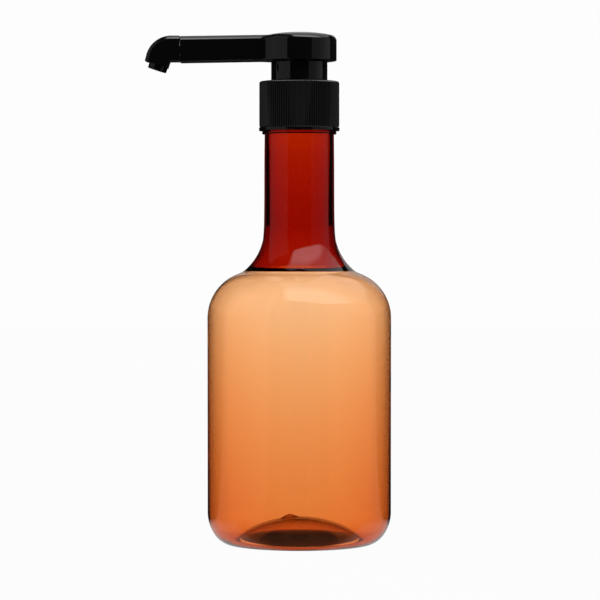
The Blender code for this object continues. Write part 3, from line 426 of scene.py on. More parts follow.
def amber_plastic(graph, finishes):
    """Clear amber: the colour is lost light, so it deepens where the wall is thick."""
    height = graph.parts(graph.place())[2]
    uneven = graph.band(height, *UNEVEN_HEIGHT)
    broad = graph.noise(22.0, 2.0, (1.0, 1.0, 0.35))
    fine = graph.noise(85.0, 1.0)
    grain = graph.noise(900.0, 2.0)
    surface = graph.principled(
        {
            "Base Color": (1.0, 1.0, 1.0, 1.0),
            "Roughness": 0.012 + 0.02 * grain,
            "IOR": finishes.amber_ior,
            "Specular Tint": (0.5, 0.5, 0.5, 1.0),
            "Transmission Weight": 1.0,
            "Normal": graph.bump(broad + (0.6 + 1.6 * uneven) * fine, 0.0004, 0.25),
        }
    )
    most = max(finishes.amber_loss)
    kept = [1.0 - loss / most for loss in finishes.amber_loss]
    inside = {"Color": (*kept, 1.0), "Density": most}
    graph.finish(Surface=surface, Volume=graph.node("ShaderNodeVolumeAbsorption", None, inputs=inside))


def black_plastic(graph, finishes, roughness, peel_depth):
    """Black moulding with a faint flow in its gloss and very fine orange peel."""
    flow = graph.noise(35.0, 3.0, (0.4, 1.0, 1.0))
    peel = graph.noise(420.0, 2.0)
    surface = graph.principled(
        {
            "Base Color": graph.blend(flow, opaque(finishes.black), opaque(finishes.black, 1.6)),
            "Roughness": roughness + 0.03 * flow,
            "IOR": 1.65,
            "Normal": graph.bump(peel, peel_depth, 0.35),
        }
    )
    graph.finish(Surface=surface)


def black_gloss(graph, finishes):
    """The polished black of the head, the elbow, the collar and the sleeve."""
    black_plastic(graph, finishes, finishes.black_roughness, peel_depth=0.00001)


def black_ribbed(graph, finishes):
    """The duller black of the cap."""
    black_plastic(graph, finishes, finishes.rib_roughness, peel_depth=0.00002)


def clear_moulding(graph, finishes, roughness, edges):
    """An uncoloured clear piece, hardly to be seen but for its edges."""
    facing = graph.node("ShaderNodeLayerWeight", None, {"Blend": 0.25}, "Facing")
    haze = graph.noise(120.0)
    gloss = graph.principled(
        {
            "Base Color": opaque(finishes.clear),
            "Roughness": roughness + 0.8 * roughness * haze,
            "IOR": 1.35,
        }
    )
    empty = graph.node("ShaderNodeBsdfTransparent", None, {"Color": (1.0, 1.0, 1.0, 1.0)})
    share = 0.003 + edges * facing**3 + 0.004 * haze
    graph.finish(Surface=graph.node("ShaderNodeMixShader", None, {0: share, 1: empty, 2: gloss}))


def clear_plastic(graph, finishes):
    """The plastic of the pump's inner parts."""
    clear_moulding(graph, finishes, roughness=0.12, edges=0.10)


def clear_glass(graph, finishes):
    """The glass of the two valve balls."""
    clear_moulding(graph, finishes, roughness=0.02, edges=0.16)


def stainless_steel(graph, finishes):
    """The bright steel of the spring and its seats, with fine drawn marks."""
    drawn = graph.noise(300.0, 4.0, (1.0, 1.0, 6.0))
    surface = graph.principled(
        {
            "Base Color": graph.blend(drawn, opaque(finishes.steel, 0.8), opaque(finishes.steel)),
            "Metallic": 1.0,
            "Roughness": 0.18 + 0.16 * drawn,
            "Normal": graph.bump(drawn, 0.00001, 0.4),
        }
    )
    graph.finish(Surface=surface)


def seal_rubber(graph, finishes):
    """Soft pale rubber with a dull, mottled face."""
    mottle = graph.noise(240.0, 4.0)
    surface = graph.principled(
        {
            "Base Color": graph.blend(mottle, opaque(finishes.seal, 0.86), opaque(finishes.seal)),
            "Roughness": 0.55 + 0.2 * mottle,
            "Normal": graph.bump(mottle, 0.00004, 0.5),
        }
    )
    graph.finish(Surface=surface)


FINISH_MAKERS = {
    "amber_clear": amber_plastic,
    "black_gloss": black_gloss,
    "black_ribbed": black_ribbed,
    "plastic_clear": clear_plastic,
    "glass_clear": clear_glass,
    "steel_drawn": stainless_steel,
    "rubber_seal": seal_rubber,
}


def new_finish(name):
    """A new material and its empty graph."""
    material = bpy.data.materials.new(name)
    material.use_nodes = True
    return material, Graph(material.node_tree)


def paint(piece, finish):
    """Gives a piece a finish, which is made once and shared."""
    material = bpy.data.materials.get(finish)
    if material is None:
        material, graph = new_finish(finish)
        FINISH_MAKERS[finish](graph, bpy.context.scene.pump_bottle_finishes)
    piece.data.materials.clear()
    piece.data.materials.append(material)


def arc(centre_radius, centre_z, radius, start, end, steps):
    """Points (radius, z) along a round stretch. Angles are in degrees: 0 points outwards, 90 points up."""
    points = []
    for step in range(steps + 1):
        turn = math.radians(start + (end - start) * step / steps)
        points.append((centre_radius + radius * math.cos(turn), centre_z + radius * math.sin(turn)))
    return points


def soft_line(points, steps):
    """Points along a smooth curve through the given ones, each stretch with the same number of steps."""
    knots = [Vector(point) for point in points]
    knots = [2 * knots[0] - knots[1], *knots, 2 * knots[-1] - knots[-2]]
    line = []
    for first, start, end, last in zip(knots, knots[1:], knots[2:], knots[3:]):
        handle_out = start + (end - first) / 6
        handle_in = end - (last - start) / 6
        line += interpolate_bezier(start, handle_out, handle_in, end, steps + 1)[:-1]
    return [tuple(point) for point in line] + [tuple(points[-1])]


def between(value, places):
    """Reads a value from places (position, value), sorted by position, with straight stretches between."""
    for (low, low_value), (high, high_value) in zip(places, places[1:]):
        if value <= high:
            share = max(0.0, (value - low) / (high - low))
            return low_value + (high_value - low_value) * share
    return places[-1][1]


def leave_edit_mode():
    """Goes back to object mode with nothing selected."""
    if bpy.context.object and bpy.context.object.mode != "OBJECT":
        bpy.ops.object.mode_set(mode="OBJECT")
    bpy.ops.object.select_all(action="DESELECT")


def edit_all():
    """Opens the active piece for editing, with all of it selected."""
    bpy.ops.object.mode_set(mode="EDIT")
    bpy.ops.mesh.select_all(action="SELECT")


def take_up(piece):
    """Makes a piece the active one and the only one selected."""
    leave_edit_mode()
    piece.select_set(True)
    bpy.context.view_layer.objects.active = piece


def name_piece(name):
    """Names the primitive that was just added and puts its place and turn into its mesh."""
    bpy.ops.object.transform_apply(location=True, rotation=True, scale=True)
    piece = bpy.context.object
    piece.name = piece.data.name = name
    return piece


def pick(kind, test):
    """Selects the corners or edges that pass a test, in the mesh that is being edited."""
    bpy.ops.mesh.select_mode(type=kind)
    bpy.ops.mesh.select_all(action="DESELECT")
    mesh = bmesh.from_edit_mesh(bpy.context.object.data)
    for item in {"VERT": mesh.verts, "EDGE": mesh.edges}[kind]:
        item.select_set(bool(test(item)))
    mesh.select_flush_mode()
    bmesh.update_edit_mesh(bpy.context.object.data)


def round_off(kind, test, radius, steps):
    """Bevels the corners or edges that pass a test."""
    pick(kind, test)
    affect = {"VERT": "VERTICES", "EDGE": "EDGES"}[kind]
    bpy.ops.mesh.bevel(offset=radius, segments=steps, affect=affect)


def in_plane(point, normal):
    """A test for the edges that lie in a plane."""
    return lambda edge: all(abs((vert.co - point).dot(normal)) < NEAR for vert in edge.verts)


def extrude(way):
    """Draws what is selected out along a way."""
    bpy.ops.mesh.extrude_region_move(TRANSFORM_OT_translate={"value": way})


def close_up(sharp_degrees):
    """Merges what is double, turns the faces outwards and shades the piece."""
    bpy.ops.mesh.select_all(action="SELECT")
    bpy.ops.mesh.remove_doubles(threshold=WELD)
    bpy.ops.mesh.normals_make_consistent(inside=False)
    bpy.ops.object.mode_set(mode="OBJECT")
    bpy.ops.object.shade_smooth_by_angle(angle=math.radians(sharp_degrees))


def draw_profile(name, profile):
    """Draws a profile with the extrude tool, from one corner, and leaves it selected in edit mode."""
    leave_edit_mode()
    bpy.ops.mesh.primitive_plane_add()
    piece = name_piece(name)
    edit_all()
    bpy.ops.mesh.merge(type="CENTER")
    radius, z = profile[0]
    bpy.ops.transform.translate(value=(AXIS_X + radius, 0, z))
    for (radius, z), (next_radius, next_z) in zip(profile, profile[1:]):
        extrude((next_radius - radius, 0, next_z - z))
    bpy.ops.mesh.select_all(action="SELECT")
    return piece


def turned(name, outline, steps=ROUND_STEPS, sharp_degrees=30.0):
    """A round piece: its outline is drawn and spun round the bottle's axis."""
    piece = draw_profile(name, outline)
    bpy.ops.mesh.spin(steps=steps, angle=2 * math.pi, center=AXIS, axis=UP)
    close_up(sharp_degrees)
    return piece


def upright_face(name):
    """Starts a piece as a face of one metre, square to X, and leaves it selected in edit mode."""
    leave_edit_mode()
    bpy.ops.mesh.primitive_plane_add(size=1, rotation=(0, math.pi / 2, 0))
    piece = name_piece(name)
    edit_all()
    return piece


def rod(start, end, radius, steps=48):
    """A cylinder from one point to another."""
    leave_edit_mode()
    way = Vector(end) - Vector(start)
    middle = (Vector(start) + Vector(end)) / 2
    turn = way.to_track_quat("Z", "Y").to_euler()
    bpy.ops.mesh.primitive_cylinder_add(
        vertices=steps, radius=radius, depth=way.length, location=middle, rotation=turn
    )
    return name_piece("rod")


def combine(piece, other, operation):
    """Joins another solid to a piece or cuts it out, and removes the other."""
    take_up(piece)
    step = piece.modifiers.new(operation.lower(), "BOOLEAN")
    step.object = other
    step.operation = operation
    step.solver = "EXACT"
    bpy.ops.object.modifier_apply(modifier=step.name)
    bpy.data.objects.remove(other, do_unlink=True)
    edit_all()
    bpy.ops.mesh.remove_doubles(threshold=WELD)
    bpy.ops.object.mode_set(mode="OBJECT")


def even_shading(piece):
    """Keeps flat faces flat beside their rounded edges."""
    take_up(piece)
    bpy.ops.object.shade_smooth_by_angle(angle=math.radians(32.0))
    step = piece.modifiers.new("weighted", "WEIGHTED_NORMAL")
    step.keep_sharp = True
    bpy.ops.object.modifier_apply(modifier=step.name)


def dress(piece, finish, body, slot, *nodes):
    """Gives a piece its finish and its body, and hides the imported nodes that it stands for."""
    paint(piece, finish)
    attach(piece, body)
    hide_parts(*nodes)


def neck_line(sizes, low_z, high_z):
    """Outline of the neck from under the ring down to the flare: nearly straight, then swelling."""
    swell = sizes.neck_low_radius - sizes.neck_top_radius
    knots = []
    for swell_share, height_share in NECK_SWELL:
        knots.append((sizes.neck_top_radius + swell * swell_share, high_z + (low_z - high_z) * height_share))
    return soft_line(knots, 6)


def shoulder_line(sizes):
    """Outline of the flare, and the one from its foot over the soft crease and round the shoulder."""
    centre = Vector((BOTTLE_RADIUS - sizes.shoulder_radius, sizes.shoulder_height))
    start = sizes.shoulder_start
    shoulder = centre + sizes.shoulder_radius * Vector((math.cos(start), math.sin(start)))
    flare_foot = shoulder + Vector((-sizes.crease_run, sizes.crease_drop))
    spread = math.cos(sizes.flare_start) - math.cos(sizes.flare_end)
    radius = (flare_foot.x - sizes.neck_low_radius) / spread
    middle = flare_foot + radius * Vector((math.cos(sizes.flare_end), math.sin(sizes.flare_end)))
    first, last = math.degrees(sizes.flare_start), math.degrees(sizes.flare_end)
    flare = arc(middle.x, middle.y, -radius, first, last, 36)
    reach = (shoulder - flare_foot).length / 3
    leaving = flare_foot + reach * Vector((math.sin(sizes.flare_end), -math.cos(sizes.flare_end)))
    arriving = shoulder - reach * Vector((math.sin(start), -math.cos(start)))
    crease = interpolate_bezier(flare_foot, leaving, arriving, shoulder, 12)[1:-1]
    curve = arc(centre.x, centre.y, sizes.shoulder_radius, math.degrees(start), 0.0, 30)
    return flare, [tuple(point) for point in crease] + curve


def base_line(sizes):
    """Outline from the straight wall round the heel, over the standing ring and up the pushed-up base."""
    heel_steps, punt_steps = 18, 40
    line = []
    for step in range(1, heel_steps + 1):
        turn = math.pi / 2 * step / heel_steps
        inward = sizes.heel_width * (1 - math.cos(turn))
        line.append((BOTTLE_RADIUS - inward, sizes.heel_height * (1 - math.sin(turn))))
    ring = BOTTLE_RADIUS - sizes.heel_width - sizes.ring_width
    for step in range(punt_steps):
        turn = math.pi / 2 * step / punt_steps
        line.append((ring * math.cos(turn), sizes.punt_height * math.sin(turn) ** sizes.punt_swell))
    return line + [(0.0, sizes.punt_height)]


def bottle_wall(sizes, radius, z):
    """Thickness of the blown wall: thick neck, a sudden step, then slowly thicker down to the base."""
    if z > sizes.heel_height:
        gain = sizes.body_wall - sizes.shoulder_wall
        body = sizes.shoulder_wall + gain * between(z, BODY_WALL_SHARES)
        neck = sizes.neck_wall * between(z, NECK_WALL_SHARES)
        share = min(1.0, max(0.0, (z - sizes.step_low) / (sizes.step_high - sizes.step_low)))
        soft = share * share * (3 - 2 * share)
        return body * (1 - soft) + neck * soft
    foot = BOTTLE_RADIUS - sizes.heel_width
    ring = foot - sizes.ring_width
    thinning = 0.001
    places = (
        (0.0, sizes.gate_wall),
        (0.8 * sizes.gate_radius, 0.9 * sizes.gate_wall),
        (1.5 * sizes.gate_radius, sizes.punt_wall),
        (ring - thinning, sizes.punt_wall),
        (ring, sizes.ring_wall),
        (foot, sizes.ring_wall),
        (BOTTLE_RADIUS, sizes.body_wall),
    )
    return between(radius, places)


def inner_side(sizes, line):
    """The wall's inner side: each point of the outline is moved square to it by the wall there."""
    moved = []
    for before, here, after in zip([line[0], *line[:-1]], line, [*line[1:], line[-1]]):
        along = (Vector(after) - Vector(before)).normalized()
        wall = bottle_wall(sizes, *here)
        moved.append((max(0.0, here[0] + wall * along.y), here[1] - wall * along.x))
    return moved


class PUMP_BOTTLE_OT_bottle(bpy.types.Operator):
    """Turns the amber bottle, with a thick neck, a thin blown body and a pushed-up base"""

    bl_idname = "pump_bottle.add_bottle"
    bl_label = "Amber Bottle"

    def execute(self, context):
        sizes = context.scene.pump_bottle_body
        bead_top = CAP_FOOT - GAP
        bead_low = bead_top - sizes.bead_height
        rim = sizes.bead_radius - sizes.bead_round
        lip = sizes.lip_round

        finish = arc(sizes.finish_radius - lip, BOTTLE_TOP - lip, lip, 90.0, 0.0, 4)
        finish.append((sizes.finish_radius, bead_top))
        finish += arc(rim, bead_top - sizes.bead_round, sizes.bead_round, 90.0, 0.0, 5)
        finish += arc(rim, bead_low + sizes.bead_round, sizes.bead_round, 0.0, -90.0, 5)
        flare, shoulder = shoulder_line(sizes)
        neck = neck_line(sizes, flare[0][1], bead_low)
        body = neck[:-1] + flare + shoulder + base_line(sizes)

        step_z = BOTTLE_TOP - sizes.bore_step_drop
        bore = sizes.finish_radius - sizes.finish_wall
        inside = [point for point in inner_side(sizes, body) if point[1] < step_z][::-1]
        inside.append((inside[-1][0], step_z))
        inside.append((bore, step_z + lip))
        inside += arc(bore + lip, BOTTLE_TOP - lip, lip, 180.0, 90.0, 4)
        outline = finish + body + inside
        bottle = turned("amber_bottle", outline + outline[:1], FINE_ROUND_STEPS)
        self.gate_mark(sizes)
        dress(bottle, "amber_clear", "bottle", "amber_plastic", "bottle")
        return {"FINISHED"}

    def gate_mark(self, sizes):
        """Draws the gate mark up out of the base's upper side."""
        at = Vector((AXIS_X + sizes.nib_x, 0))
        bpy.ops.object.mode_set(mode="EDIT")
        mesh = bmesh.from_edit_mesh(bpy.context.object.data)
        upper = [vert for vert in mesh.verts if vert.co.z < sizes.heel_height and vert.normal.z > 0.5]
        peak = min(upper, key=lambda vert: (vert.co.xy - at).length).co.copy()
        pick("VERT", lambda vert: (vert.co - peak).length < WELD)
        bpy.ops.transform.translate(
            value=(0, 0, sizes.nib_height),
            use_proportional_edit=True,
            proportional_edit_falloff="SMOOTH",
            proportional_size=sizes.nib_radius,
        )
        bpy.ops.object.mode_set(mode="OBJECT")


class PUMP_BOTTLE_OT_cap(bpy.types.Operator):
    """Turns one rib of the screw cap, swells it and copies it round"""

    bl_idname = "pump_bottle.add_cap"
    bl_label = "Ribbed Cap"

    def execute(self, context):
        sizes = context.scene.pump_bottle_cap
        groove = CAP_RADIUS - sizes.rib_inset - sizes.rib_depth
        corner = sizes.corner
        chamfer = sizes.chamfer
        rib_low = CAP_FOOT + sizes.lip_height
        under_top = CAP_TOP - sizes.top_wall
        outline = [
            (sizes.bore_radius, CAP_FOOT),
            (CAP_RADIUS - chamfer, CAP_FOOT),
            (CAP_RADIUS, CAP_FOOT + chamfer),
            (CAP_RADIUS, rib_low - chamfer),
            (CAP_RADIUS - chamfer, rib_low),
            (groove, rib_low + chamfer),
            (groove, rib_low + 4 * chamfer),
        ]
        outline += arc(groove - corner, CAP_TOP - corner, corner, 0.0, 90.0, 6)
        outline += [
            (sizes.hole_radius, CAP_TOP),
            (sizes.hole_radius, under_top),
            (sizes.bore_radius, under_top),
            (sizes.bore_radius, CAP_FOOT),
        ]
        cap = draw_profile("ribbed_cap", outline)
        sector = 2 * math.pi / sizes.rib_count
        bpy.ops.mesh.spin(steps=sizes.rib_steps, angle=sector, center=AXIS, axis=UP)
        self.swell_rib(sizes, sector, groove, rib_low + 3 * chamfer)
        bpy.ops.mesh.select_all(action="SELECT")
        rest = sizes.rib_count - 1
        bpy.ops.mesh.spin(steps=rest, dupli=True, angle=sector * rest, center=AXIS, axis=UP)
        close_up(40.0)
        dress(cap, "black_ribbed", "closure", "black_plastic", "closure")
        return {"FINISHED"}

    def swell_rib(self, sizes, sector, groove, foot):
        """Lifts the corners between the two grooves outwards, most in the middle of the rib."""
        inmost = groove - 0.72 * sizes.corner
        for step in range(1, sizes.rib_steps):
            share = math.sin(math.pi * step / sizes.rib_steps) ** sizes.rib_power
            turn = sector * step / sizes.rib_steps
            factor = 1 + sizes.rib_depth * share / groove

            def in_column(vert):
                away = vert.co - AXIS
                aside = abs(abs(math.atan2(away.y, away.x)) - turn)
                return away.xy.length > inmost and vert.co.z > foot and aside < sector / 20

            pick("VERT", in_column)
            bpy.ops.transform.resize(value=(factor, factor, 1), center_override=AXIS)


class PUMP_BOTTLE_OT_collar(bpy.types.Operator):
    """Turns the lock collar and the sleeve that slides in it"""

    bl_idname = "pump_bottle.add_collar"
    bl_label = "Collar and Sleeve"

    def execute(self, context):
        sizes = context.scene.pump_bottle_cap
        corner = sizes.collar_corner
        edge = sizes.fine_edge
        under_top = COLLAR_TOP - sizes.collar_top_wall
        outline = [(sizes.collar_hole, COLLAR_TOP - edge), (sizes.collar_hole + edge, COLLAR_TOP)]
        outline += arc(COLLAR_RADIUS - corner, COLLAR_TOP - corner, corner, 90.0, 0.0, 6)
        outline += arc(COLLAR_RADIUS - corner / 2, COLLAR_FOOT + corner / 2, corner / 2, 0.0, -90.0, 3)
        outline += [
            (sizes.collar_bore, COLLAR_FOOT),
            (sizes.collar_bore, under_top),
            (sizes.collar_hole, under_top),
        ]
        collar = turned("collar", outline + outline[:1])
        dress(collar, "black_gloss", "pump", "black_plastic", "lock_collar")

        wall = sizes.sleeve_wall
        outline = [
            (SLEEVE_RADIUS - wall, SLEEVE_FOOT),
            (SLEEVE_RADIUS - wall / 2, SLEEVE_FOOT),
            (SLEEVE_RADIUS, SLEEVE_FOOT + wall / 2),
            (SLEEVE_RADIUS, SLEEVE_TOP - edge),
            (SLEEVE_RADIUS - edge, SLEEVE_TOP),
            (SLEEVE_RADIUS - wall, SLEEVE_TOP),
        ]
        sleeve = turned("sleeve", outline + outline[:1])
        dress(sleeve, "black_gloss", "plunger", "black_plastic", "spring_sleeve")
        return {"FINISHED"}


class PUMP_BOTTLE_OT_head(bpy.types.Operator):
    """Turns the domed head, draws out its spout arm and cuts the syrup's way through"""

    bl_idname = "pump_bottle.add_head"
    bl_label = "Head and Spout Arm"

    def execute(self, context):
        sizes = context.scene.pump_bottle_head
        head = self.disc(sizes)
        combine(head, self.arm(sizes), "UNION")
        channel_z = DISC_Z + sizes.channel_height
        channel_end = (SEAM_X - OVERRUN, 0, channel_z)
        spigot_end = (SEAM_X + sizes.spigot_length + GAP, 0, channel_z)
        below = (AXIS_X, 0, DISC_Z - OVERRUN)
        foot = (AXIS_X, 0, DISC_Z)
        cuts = (
            (below, (AXIS_X, 0, DISC_Z + sizes.socket_depth), sizes.socket_radius),
            (foot, (AXIS_X, 0, DISC_Z + sizes.stem_depth), sizes.stem_radius),
            (foot, (AXIS_X, 0, channel_z), sizes.riser_radius),
            ((AXIS_X + sizes.channel_start, 0, channel_z), channel_end, sizes.channel_radius),
            (spigot_end, channel_end, sizes.spigot_radius + GAP),
        )
        for start, end, radius in cuts:
            combine(head, rod(start, end, radius), "DIFFERENCE")
        even_shading(head)
        dress(head, "black_gloss", "head", "black_plastic", "actuator_head")
        return {"FINISHED"}

    def disc(self, sizes):
        """The head without its arm: a low dome whose fall steepens to its rounded rim."""
        dome_steps = 20
        top = DISC_Z + sizes.disc_height
        edge = sizes.disc_edge
        rim = sizes.disc_radius - sizes.disc_fillet
        slope = math.degrees(math.atan(3 * sizes.dome_sag / rim))
        outline = []
        for step in range(dome_steps):
            share = step / dome_steps
            outline.append((rim * share, top - sizes.dome_sag * share**3))
        rim_z = top - sizes.dome_sag - sizes.disc_fillet
        outline += arc(rim, rim_z, sizes.disc_fillet, 90.0 - slope, 0.0, 14)
        outline += arc(sizes.disc_radius - edge, DISC_Z + edge, edge, 0.0, -90.0, 4)
        outline.append((0.0, DISC_Z))
        return turned("head", outline, FINE_ROUND_STEPS, 25.0)

    def arm(self, sizes):
        """The arm is drawn out of one face, station by station, and then its long edges are rounded."""
        inner_top = DISC_Z + sizes.disc_height - sizes.dome_sag - sizes.disc_edge
        end_low = DISC_Z - sizes.arm_droop
        reach = AXIS_X - SEAM_X
        stations = (
            (0.0, sizes.root_width, DISC_Z + sizes.disc_edge, inner_top - sizes.disc_edge),
            (sizes.flank_x, sizes.flank_width, DISC_Z, inner_top),
            (sizes.root_x, sizes.root_width, DISC_Z, DISC_Z + sizes.arm_height),
            (reach, sizes.end_width, end_low, end_low + sizes.arm_height + sizes.arm_growth),
        )
        arm = upright_face("arm")
        last_x, last_middle, last_width, last_height = 0.0, 0.0, 0.5, 1.0
        for index, (x, width, bottom, top) in enumerate(stations):
            middle = (bottom + top) / 2
            height = top - bottom
            way = (last_x - x, 0, middle - last_middle)
            if index:
                extrude(way)
            else:
                bpy.ops.transform.translate(value=way)
            growth = (1, width / last_width, height / last_height)
            bpy.ops.transform.resize(value=growth, center_override=(-x, 0, middle))
            last_x, last_middle, last_width, last_height = x, middle, width, height

        def long_edge(edge, upper):
            one, other = (vert.co for vert in edge.verts)
            in_upper_half = (one.z + other.z) / 2 > DISC_Z + sizes.arm_height / 2
            return abs(one.x - other.x) > sizes.disc_edge and in_upper_half == upper

        round_off("EDGE", lambda edge: long_edge(edge, True), sizes.arm_round, 8)
        round_off("EDGE", lambda edge: long_edge(edge, False), sizes.arm_edge, 3)
        round_off("EDGE", in_plane(Vector((-reach, 0, 0)), Vector((1, 0, 0))), sizes.seam_edge, 2)
        bpy.ops.mesh.select_all(action="SELECT")
        bpy.ops.transform.translate(value=AXIS)
        bpy.ops.mesh.normals_make_consistent(inside=False)
        bpy.ops.object.mode_set(mode="OBJECT")
        return arm


class PUMP_BOTTLE_OT_elbow(bpy.types.Operator):
    """Bends the end of the spout down about its inner corner and adds its tip and spigot"""

    bl_idname = "pump_bottle.add_elbow"
    bl_label = "Spout Elbow"

    def execute(self, context):
        sizes = context.scene.pump_bottle_head
        low = DISC_Z - sizes.arm_droop + sizes.elbow_rise
        pivot = Vector((SEAM_X - sizes.level_run, 0, low - sizes.elbow_corner))
        sweep = math.pi / 2 - sizes.tip_tilt
        down = Vector((-math.cos(sweep), 0, -math.sin(sweep)))
        outward = Vector((-math.sin(sweep), 0, math.cos(sweep)))
        seam = Vector((SEAM_X - GAP, 0, DISC_Z + sizes.channel_height))

        elbow = self.bend(sizes, low, pivot, down, outward)
        inset = sizes.elbow_corner + sizes.tip_radius + sizes.tip_inset
        face = pivot + outward * inset + down * sizes.end_run
        end = face + down * sizes.tip_length
        tip = rod(face - down * sizes.end_run, end, sizes.tip_radius, 64)
        bpy.ops.object.mode_set(mode="EDIT")
        round_off("EDGE", in_plane(end, down), sizes.tip_edge, 3)
        bpy.ops.object.mode_set(mode="OBJECT")
        combine(elbow, tip, "UNION")

        level = Vector((1, 0, 0))
        spigot_end = seam + level * sizes.spigot_length
        combine(elbow, rod(spigot_end, seam - level * OVERRUN, sizes.spigot_radius), "UNION")
        meet = face + down * ((seam.z - face.z) / down.z)
        bores = (
            (spigot_end + level * OVERRUN, meet, sizes.channel_radius),
            (meet - down * sizes.channel_radius, end + down * OVERRUN, sizes.tip_bore),
        )
        for start, finish, radius in bores:
            combine(elbow, rod(start, finish, radius), "DIFFERENCE")
        even_shading(elbow)
        dress(elbow, "black_gloss", "head", "black_plastic", "nozzle_elbow")
        return {"FINISHED"}

    def bend(self, sizes, low, pivot, down, outward):
        """Draws the elbow's section out level, round its inner corner and on down to its end."""
        seam_x = SEAM_X - GAP
        sweep = math.pi / 2 - sizes.tip_tilt
        height = sizes.elbow_height
        middle = low + height / 2
        elbow = upright_face("elbow")
        bpy.ops.transform.resize(value=(1, 2 * sizes.elbow_width, height), center_override=(0, 0, 0))
        bpy.ops.transform.translate(value=(seam_x, 0, middle))
        round_off("VERT", lambda vert: vert.co.z > middle, sizes.elbow_round, 10)
        round_off("VERT", lambda vert: vert.co.z < low + sizes.arm_edge / 2, sizes.arm_edge, 4)
        bpy.ops.mesh.select_all(action="SELECT")
        extrude((pivot.x - seam_x, 0, 0))
        steps = 28
        taper = sizes.turn_share ** (1 / steps)
        for _ in range(steps):
            extrude((0, 0, 0))
            bpy.ops.transform.rotate(value=sweep / steps, orient_axis="Y", center_override=pivot)
            bpy.ops.transform.resize(value=(taper, taper, taper), center_override=pivot)
        extrude(down * sizes.end_run)
        share = sizes.end_height / (height * sizes.turn_share)
        corner = pivot + outward * sizes.elbow_corner * sizes.turn_share + down * sizes.end_run
        bpy.ops.transform.resize(value=(share, share, share), center_override=corner)
        round_off("EDGE", in_plane(Vector((seam_x, 0, 0)), Vector((1, 0, 0))), sizes.elbow_edge, 2)
        round_off("EDGE", in_plane(corner, down), sizes.elbow_edge, 2)
        close_up(30.0)
        return elbow


class PUMP_BOTTLE_OT_spring(bpy.types.Operator):
    """Screws a ring of wire up into the return spring"""

    bl_idname = "pump_bottle.add_spring"
    bl_label = "Return Spring"

    turns: IntProperty(name="Turns", description="Turns of the wire", default=10, min=3)
    wire: length("Wire", "Thickness of the wire", 0.0011)

    def execute(self, context):
        leave_edit_mode()
        bpy.ops.mesh.primitive_circle_add(
            vertices=14, radius=self.wire / 2, fill_type="NOTHING", rotation=(math.pi / 2, 0, 0)
        )
        spring = name_piece("spring")
        edit_all()
        bpy.ops.transform.translate(value=(SPRING_RADIUS - self.wire / 2, 0, SPRING_FOOT + self.wire / 2))
        bpy.ops.object.mode_set(mode="OBJECT")
        coil = spring.modifiers.new("coil", "SCREW")
        coil.screw_offset = (SPRING_TOP - SPRING_FOOT - self.wire) / self.turns
        coil.iterations = self.turns
        coil.steps = coil.render_steps = 40
        coil.use_merge_vertices = False
        bpy.ops.object.modifier_apply(modifier=coil.name)
        edit_all()
        bpy.ops.transform.translate(value=AXIS)
        bpy.ops.mesh.select_mode(type="EDGE")
        bpy.ops.mesh.select_all(action="DESELECT")
        bpy.ops.mesh.select_non_manifold()
        bpy.ops.mesh.fill_holes(sides=0)
        close_up(50.0)
        paint(spring, "steel_drawn")
        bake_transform(spring)
        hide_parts("return_spring")
        return {"FINISHED"}


class PUMP_BOTTLE_OT_inner_parts(bpy.types.Operator):
    """Gives the pump's inner parts their finishes"""

    bl_idname = "pump_bottle.finish_inner_parts"
    bl_label = "Inner Parts"

    def execute(self, context):
        worn_by = {
            "plastic_clear": (
                "pump_housing",
                "spring_cup",
                "plunger_stem",
                "piston",
                "outlet_valve_seat",
                "inlet_ball_cage",
                "dip_tube",
            ),
            "glass_clear": ("inlet_ball", "outlet_ball"),
            "steel_drawn": ("lower_spring_seat", "upper_spring_seat"),
            "rubber_seal": ("neck_gasket", "stem_wiper"),
        }
        for finish, names in worn_by.items():
            for name in names:
                paint(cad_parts[name], finish)
        return {"FINISHED"}


def light_kinds(graph):
    """1 for the camera, for light straight through clear plastic, and for light turned back inside it."""
    outputs = ("Is Camera Ray", "Is Transmission Ray", "Glossy Depth")
    camera, through, glossy_depth = graph.node("ShaderNodeLightPath", output=outputs)
    turned_back = glossy_depth > 0.5
    return camera, through * (1 - turned_back), through * turned_back


def room_light(graph, studio, direction, turned_back):
    """What gloss shows: a dim room, softboxes, a light overhead, and at the back a panel and a window.

    Light turned back inside the plastic finds brighter softboxes, pale walls and the panel, and a weaker
    light overhead.
    """
    x, y, z = graph.parts(direction)
    turn = graph.math("ARCTAN2", x, 0 - y)
    right_share = RIGHT_BOX_SHARE + RIGHT_BOX_FAR_GAIN * graph.step(turn, *RIGHT_BOX_GAIN)
    right = graph.band(turn, *RIGHT_BOX_TURN) * right_share
    left = graph.band(turn, *LEFT_BOX_TURN) * LEFT_BOX_SHARE
    boxes = right * graph.band(z, *RIGHT_BOX_RISE) + left * graph.band(z, *LEFT_BOX_RISE)
    walls = graph.band(abs(turn), *WALL_TURN) * graph.band(z, *WALL_RISE)
    beside = boxes * (1 + BOXES_TURNED_BACK_GAIN * turned_back) + WALLS_TURNED_BACK * walls * turned_back
    panel = graph.step(y, *FAR_DEPTH) * graph.band(z, *FAR_RISE)
    window = graph.step(y, *WINDOW_DEPTH) * graph.band(z, *WINDOW_RISE) * graph.band(x, *WINDOW_WIDTH)
    far = turned_back * panel + (1 - turned_back) * window * WINDOW_SHARE
    above = graph.step(z + OVERHEAD_TILT * x, *OVERHEAD_RISE) * graph.step(x, *OVERHEAD_WIDTH)
    above = above * (1 - graph.step(y, *OVERHEAD_END))
    above = above * (1 - OVERHEAD_FAR_LOSS * graph.step(y, *OVERHEAD_FADE))
    above = above * (1 - OVERHEAD_TURNED_BACK_LOSS * turned_back)
    return studio.room + beside * studio.softbox + far * studio.far_panel + above * studio.overhead


